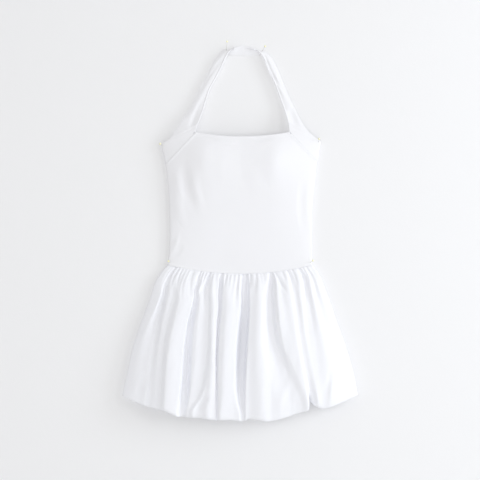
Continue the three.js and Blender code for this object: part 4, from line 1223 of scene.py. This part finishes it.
# The hem casing: a narrow tunnel of the same poplin with elastic run through it, sewn along the
# top of the turned-under cloth, so that its hold makes the skirt a bubble.
CASING_WALL = 2
CASING_HEIGHT = 14
ELASTIC_PUCKER = 0.5
STRAIGHT_STEPS, ROUND_STEPS = 60, 12


def casing_piece():
    names = ("left", "right", "round", "side", "up")
    left, right, curve, side, up = (RETURN[name] for name in names)
    run = right - left - 2 * curve
    quarter_turn = math.pi / 2
    outline = []
    for start, sense in ((left + curve, 1), (right - curve, -1)):
        for k in range(STRAIGHT_STEPS + 1):
            outline.append((start + sense * run * k / STRAIGHT_STEPS, sense * quarter_turn))
        for k in range(1, ROUND_STEPS):
            angle = sense * quarter_turn - math.pi * k / ROUND_STEPS
            outline.append((start + sense * run, angle))
    inner = curve - SEAM_GAP
    outer = inner + CASING_WALL
    section = [
        (outer, SEAM_GAP),
        (outer + 0.8, 4),
        (outer + 0.8, CASING_HEIGHT - 3),
        (outer - 0.4, CASING_HEIGHT),
        (inner + 0.2, CASING_HEIGHT),
        (inner - 0.6, CASING_HEIGHT - 3),
        (inner - 0.6, 4),
        (inner, SEAM_GAP),
    ]
    puckered = (1, 2, 5, 6)
    points = []
    for i, (radius, rise) in enumerate(section):
        for k, (x, angle) in enumerate(outline):
            reach = radius + (ELASTIC_PUCKER * math.sin(k * 2.1) if i in puckered else 0)
            at = x + reach * math.cos(angle)
            drop = bowed(HEM, min(max(at, left), right)) - up - rise
            point = (at, -(side + reach * math.sin(angle)), -drop)
            points.append(tuple(MILLIMETRE * value for value in point))
    faces = tube_faces(len(section), len(outline), closed=True)
    return new_piece("hem_casing_cloth", points, faces, poplin)


casing = casing_piece()
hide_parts("hem_casing")
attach(casing, "root")

# Six dressmaking pins: a bright steel shaft with a ball of glossy yellow plastic, pushed through
# the cloth into the wall at the neck, under the arms and at the waist.
SHAFT = 0.4
HEAD = 2.1
PIN_LENGTH = 40
SHAFT_SIDES, HEAD_SIDES = 12, 20
PINS = [
    ("pin_neck_left", (-39.6, -1.4, 8), (-37.8, -20.3, 25)),
    ("pin_neck_right", (39.6, 1.8, 8), (47.3, -9.9, 22)),
    ("pin_underarm_left", (-181, 213.5, 9), (-187.9, 208.8, 22)),
    ("pin_underarm_right", (167.3, 206.5, 9), (168.2, 197.8, 21)),
    ("pin_waist_left", (-165.5, 475.5, 9), (-169.4, 472, 21)),
    ("pin_waist_right", (147.5, 475.5, 9), (154.5, 470.6, 21)),
]
YELLOW = (0.91, 0.88, 0.51)
STEEL = (0.63, 0.62, 0.59)
yellow = plain_material("yellow_head", YELLOW, 0.3)
shader_of(yellow).inputs["Coat Weight"].default_value = 0.4
uneven(yellow, YELLOW, 0.96, mottle(yellow, place_on(yellow), 600, 2), (0.26, 0.34), 0.00002)
steel = plain_material("pin_steel", STEEL, 0.3)
shader_of(steel).inputs["Metallic"].default_value = 1
uneven(steel, STEEL, 0.95, mottle(steel, place_on(steel), 1500, 3), (0.22, 0.38), 0.00002)


def turned(profile, sides):
    points = []
    for radius, height in profile:
        for k in range(sides):
            angle = 2 * math.pi * k / sides
            points.append((radius * math.cos(angle), radius * math.sin(angle), height))
    bottom, top = range(sides), range(len(points) - sides, len(points))
    return points, tube_faces(len(profile), sides) + [tuple(reversed(bottom)), tuple(top)]


def pin_piece(name, profile, sides, direction, tip, material):
    points, faces = turned(profile, sides)
    turn = Vector((0, 0, 1)).rotation_difference(direction)
    placed = [tuple((turn @ Vector(p) + tip) * MILLIMETRE) for p in points]
    return new_piece(name, placed, faces, material)


for name, entry, head in PINS:
    entry_at, head_at = (Vector((x, -depth, -drop)) for x, drop, depth in (entry, head))
    direction = (head_at - entry_at).normalized()
    tip = head_at - direction * PIN_LENGTH
    shaft_profile = [(0.03, 0), (0.25, 2), (SHAFT, 5), (SHAFT, PIN_LENGTH - 1.2)]
    shaft = pin_piece(f"{name}_shaft", shaft_profile, SHAFT_SIDES, direction, tip, steel)
    ball = [(0.5, PIN_LENGTH - HEAD - 0.25), (0.62, PIN_LENGTH - HEAD + 0.02)]
    for angle in np.linspace(0.18, math.pi - 0.02, 15):
        ball.append((HEAD * math.sin(angle), PIN_LENGTH - HEAD * math.cos(angle)))
    head_piece = pin_piece(f"{name}_head", ball, HEAD_SIDES, direction, tip, yellow)
    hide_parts(name)
    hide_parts(name)
    for piece in (shaft, head_piece):
        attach(piece, "root")
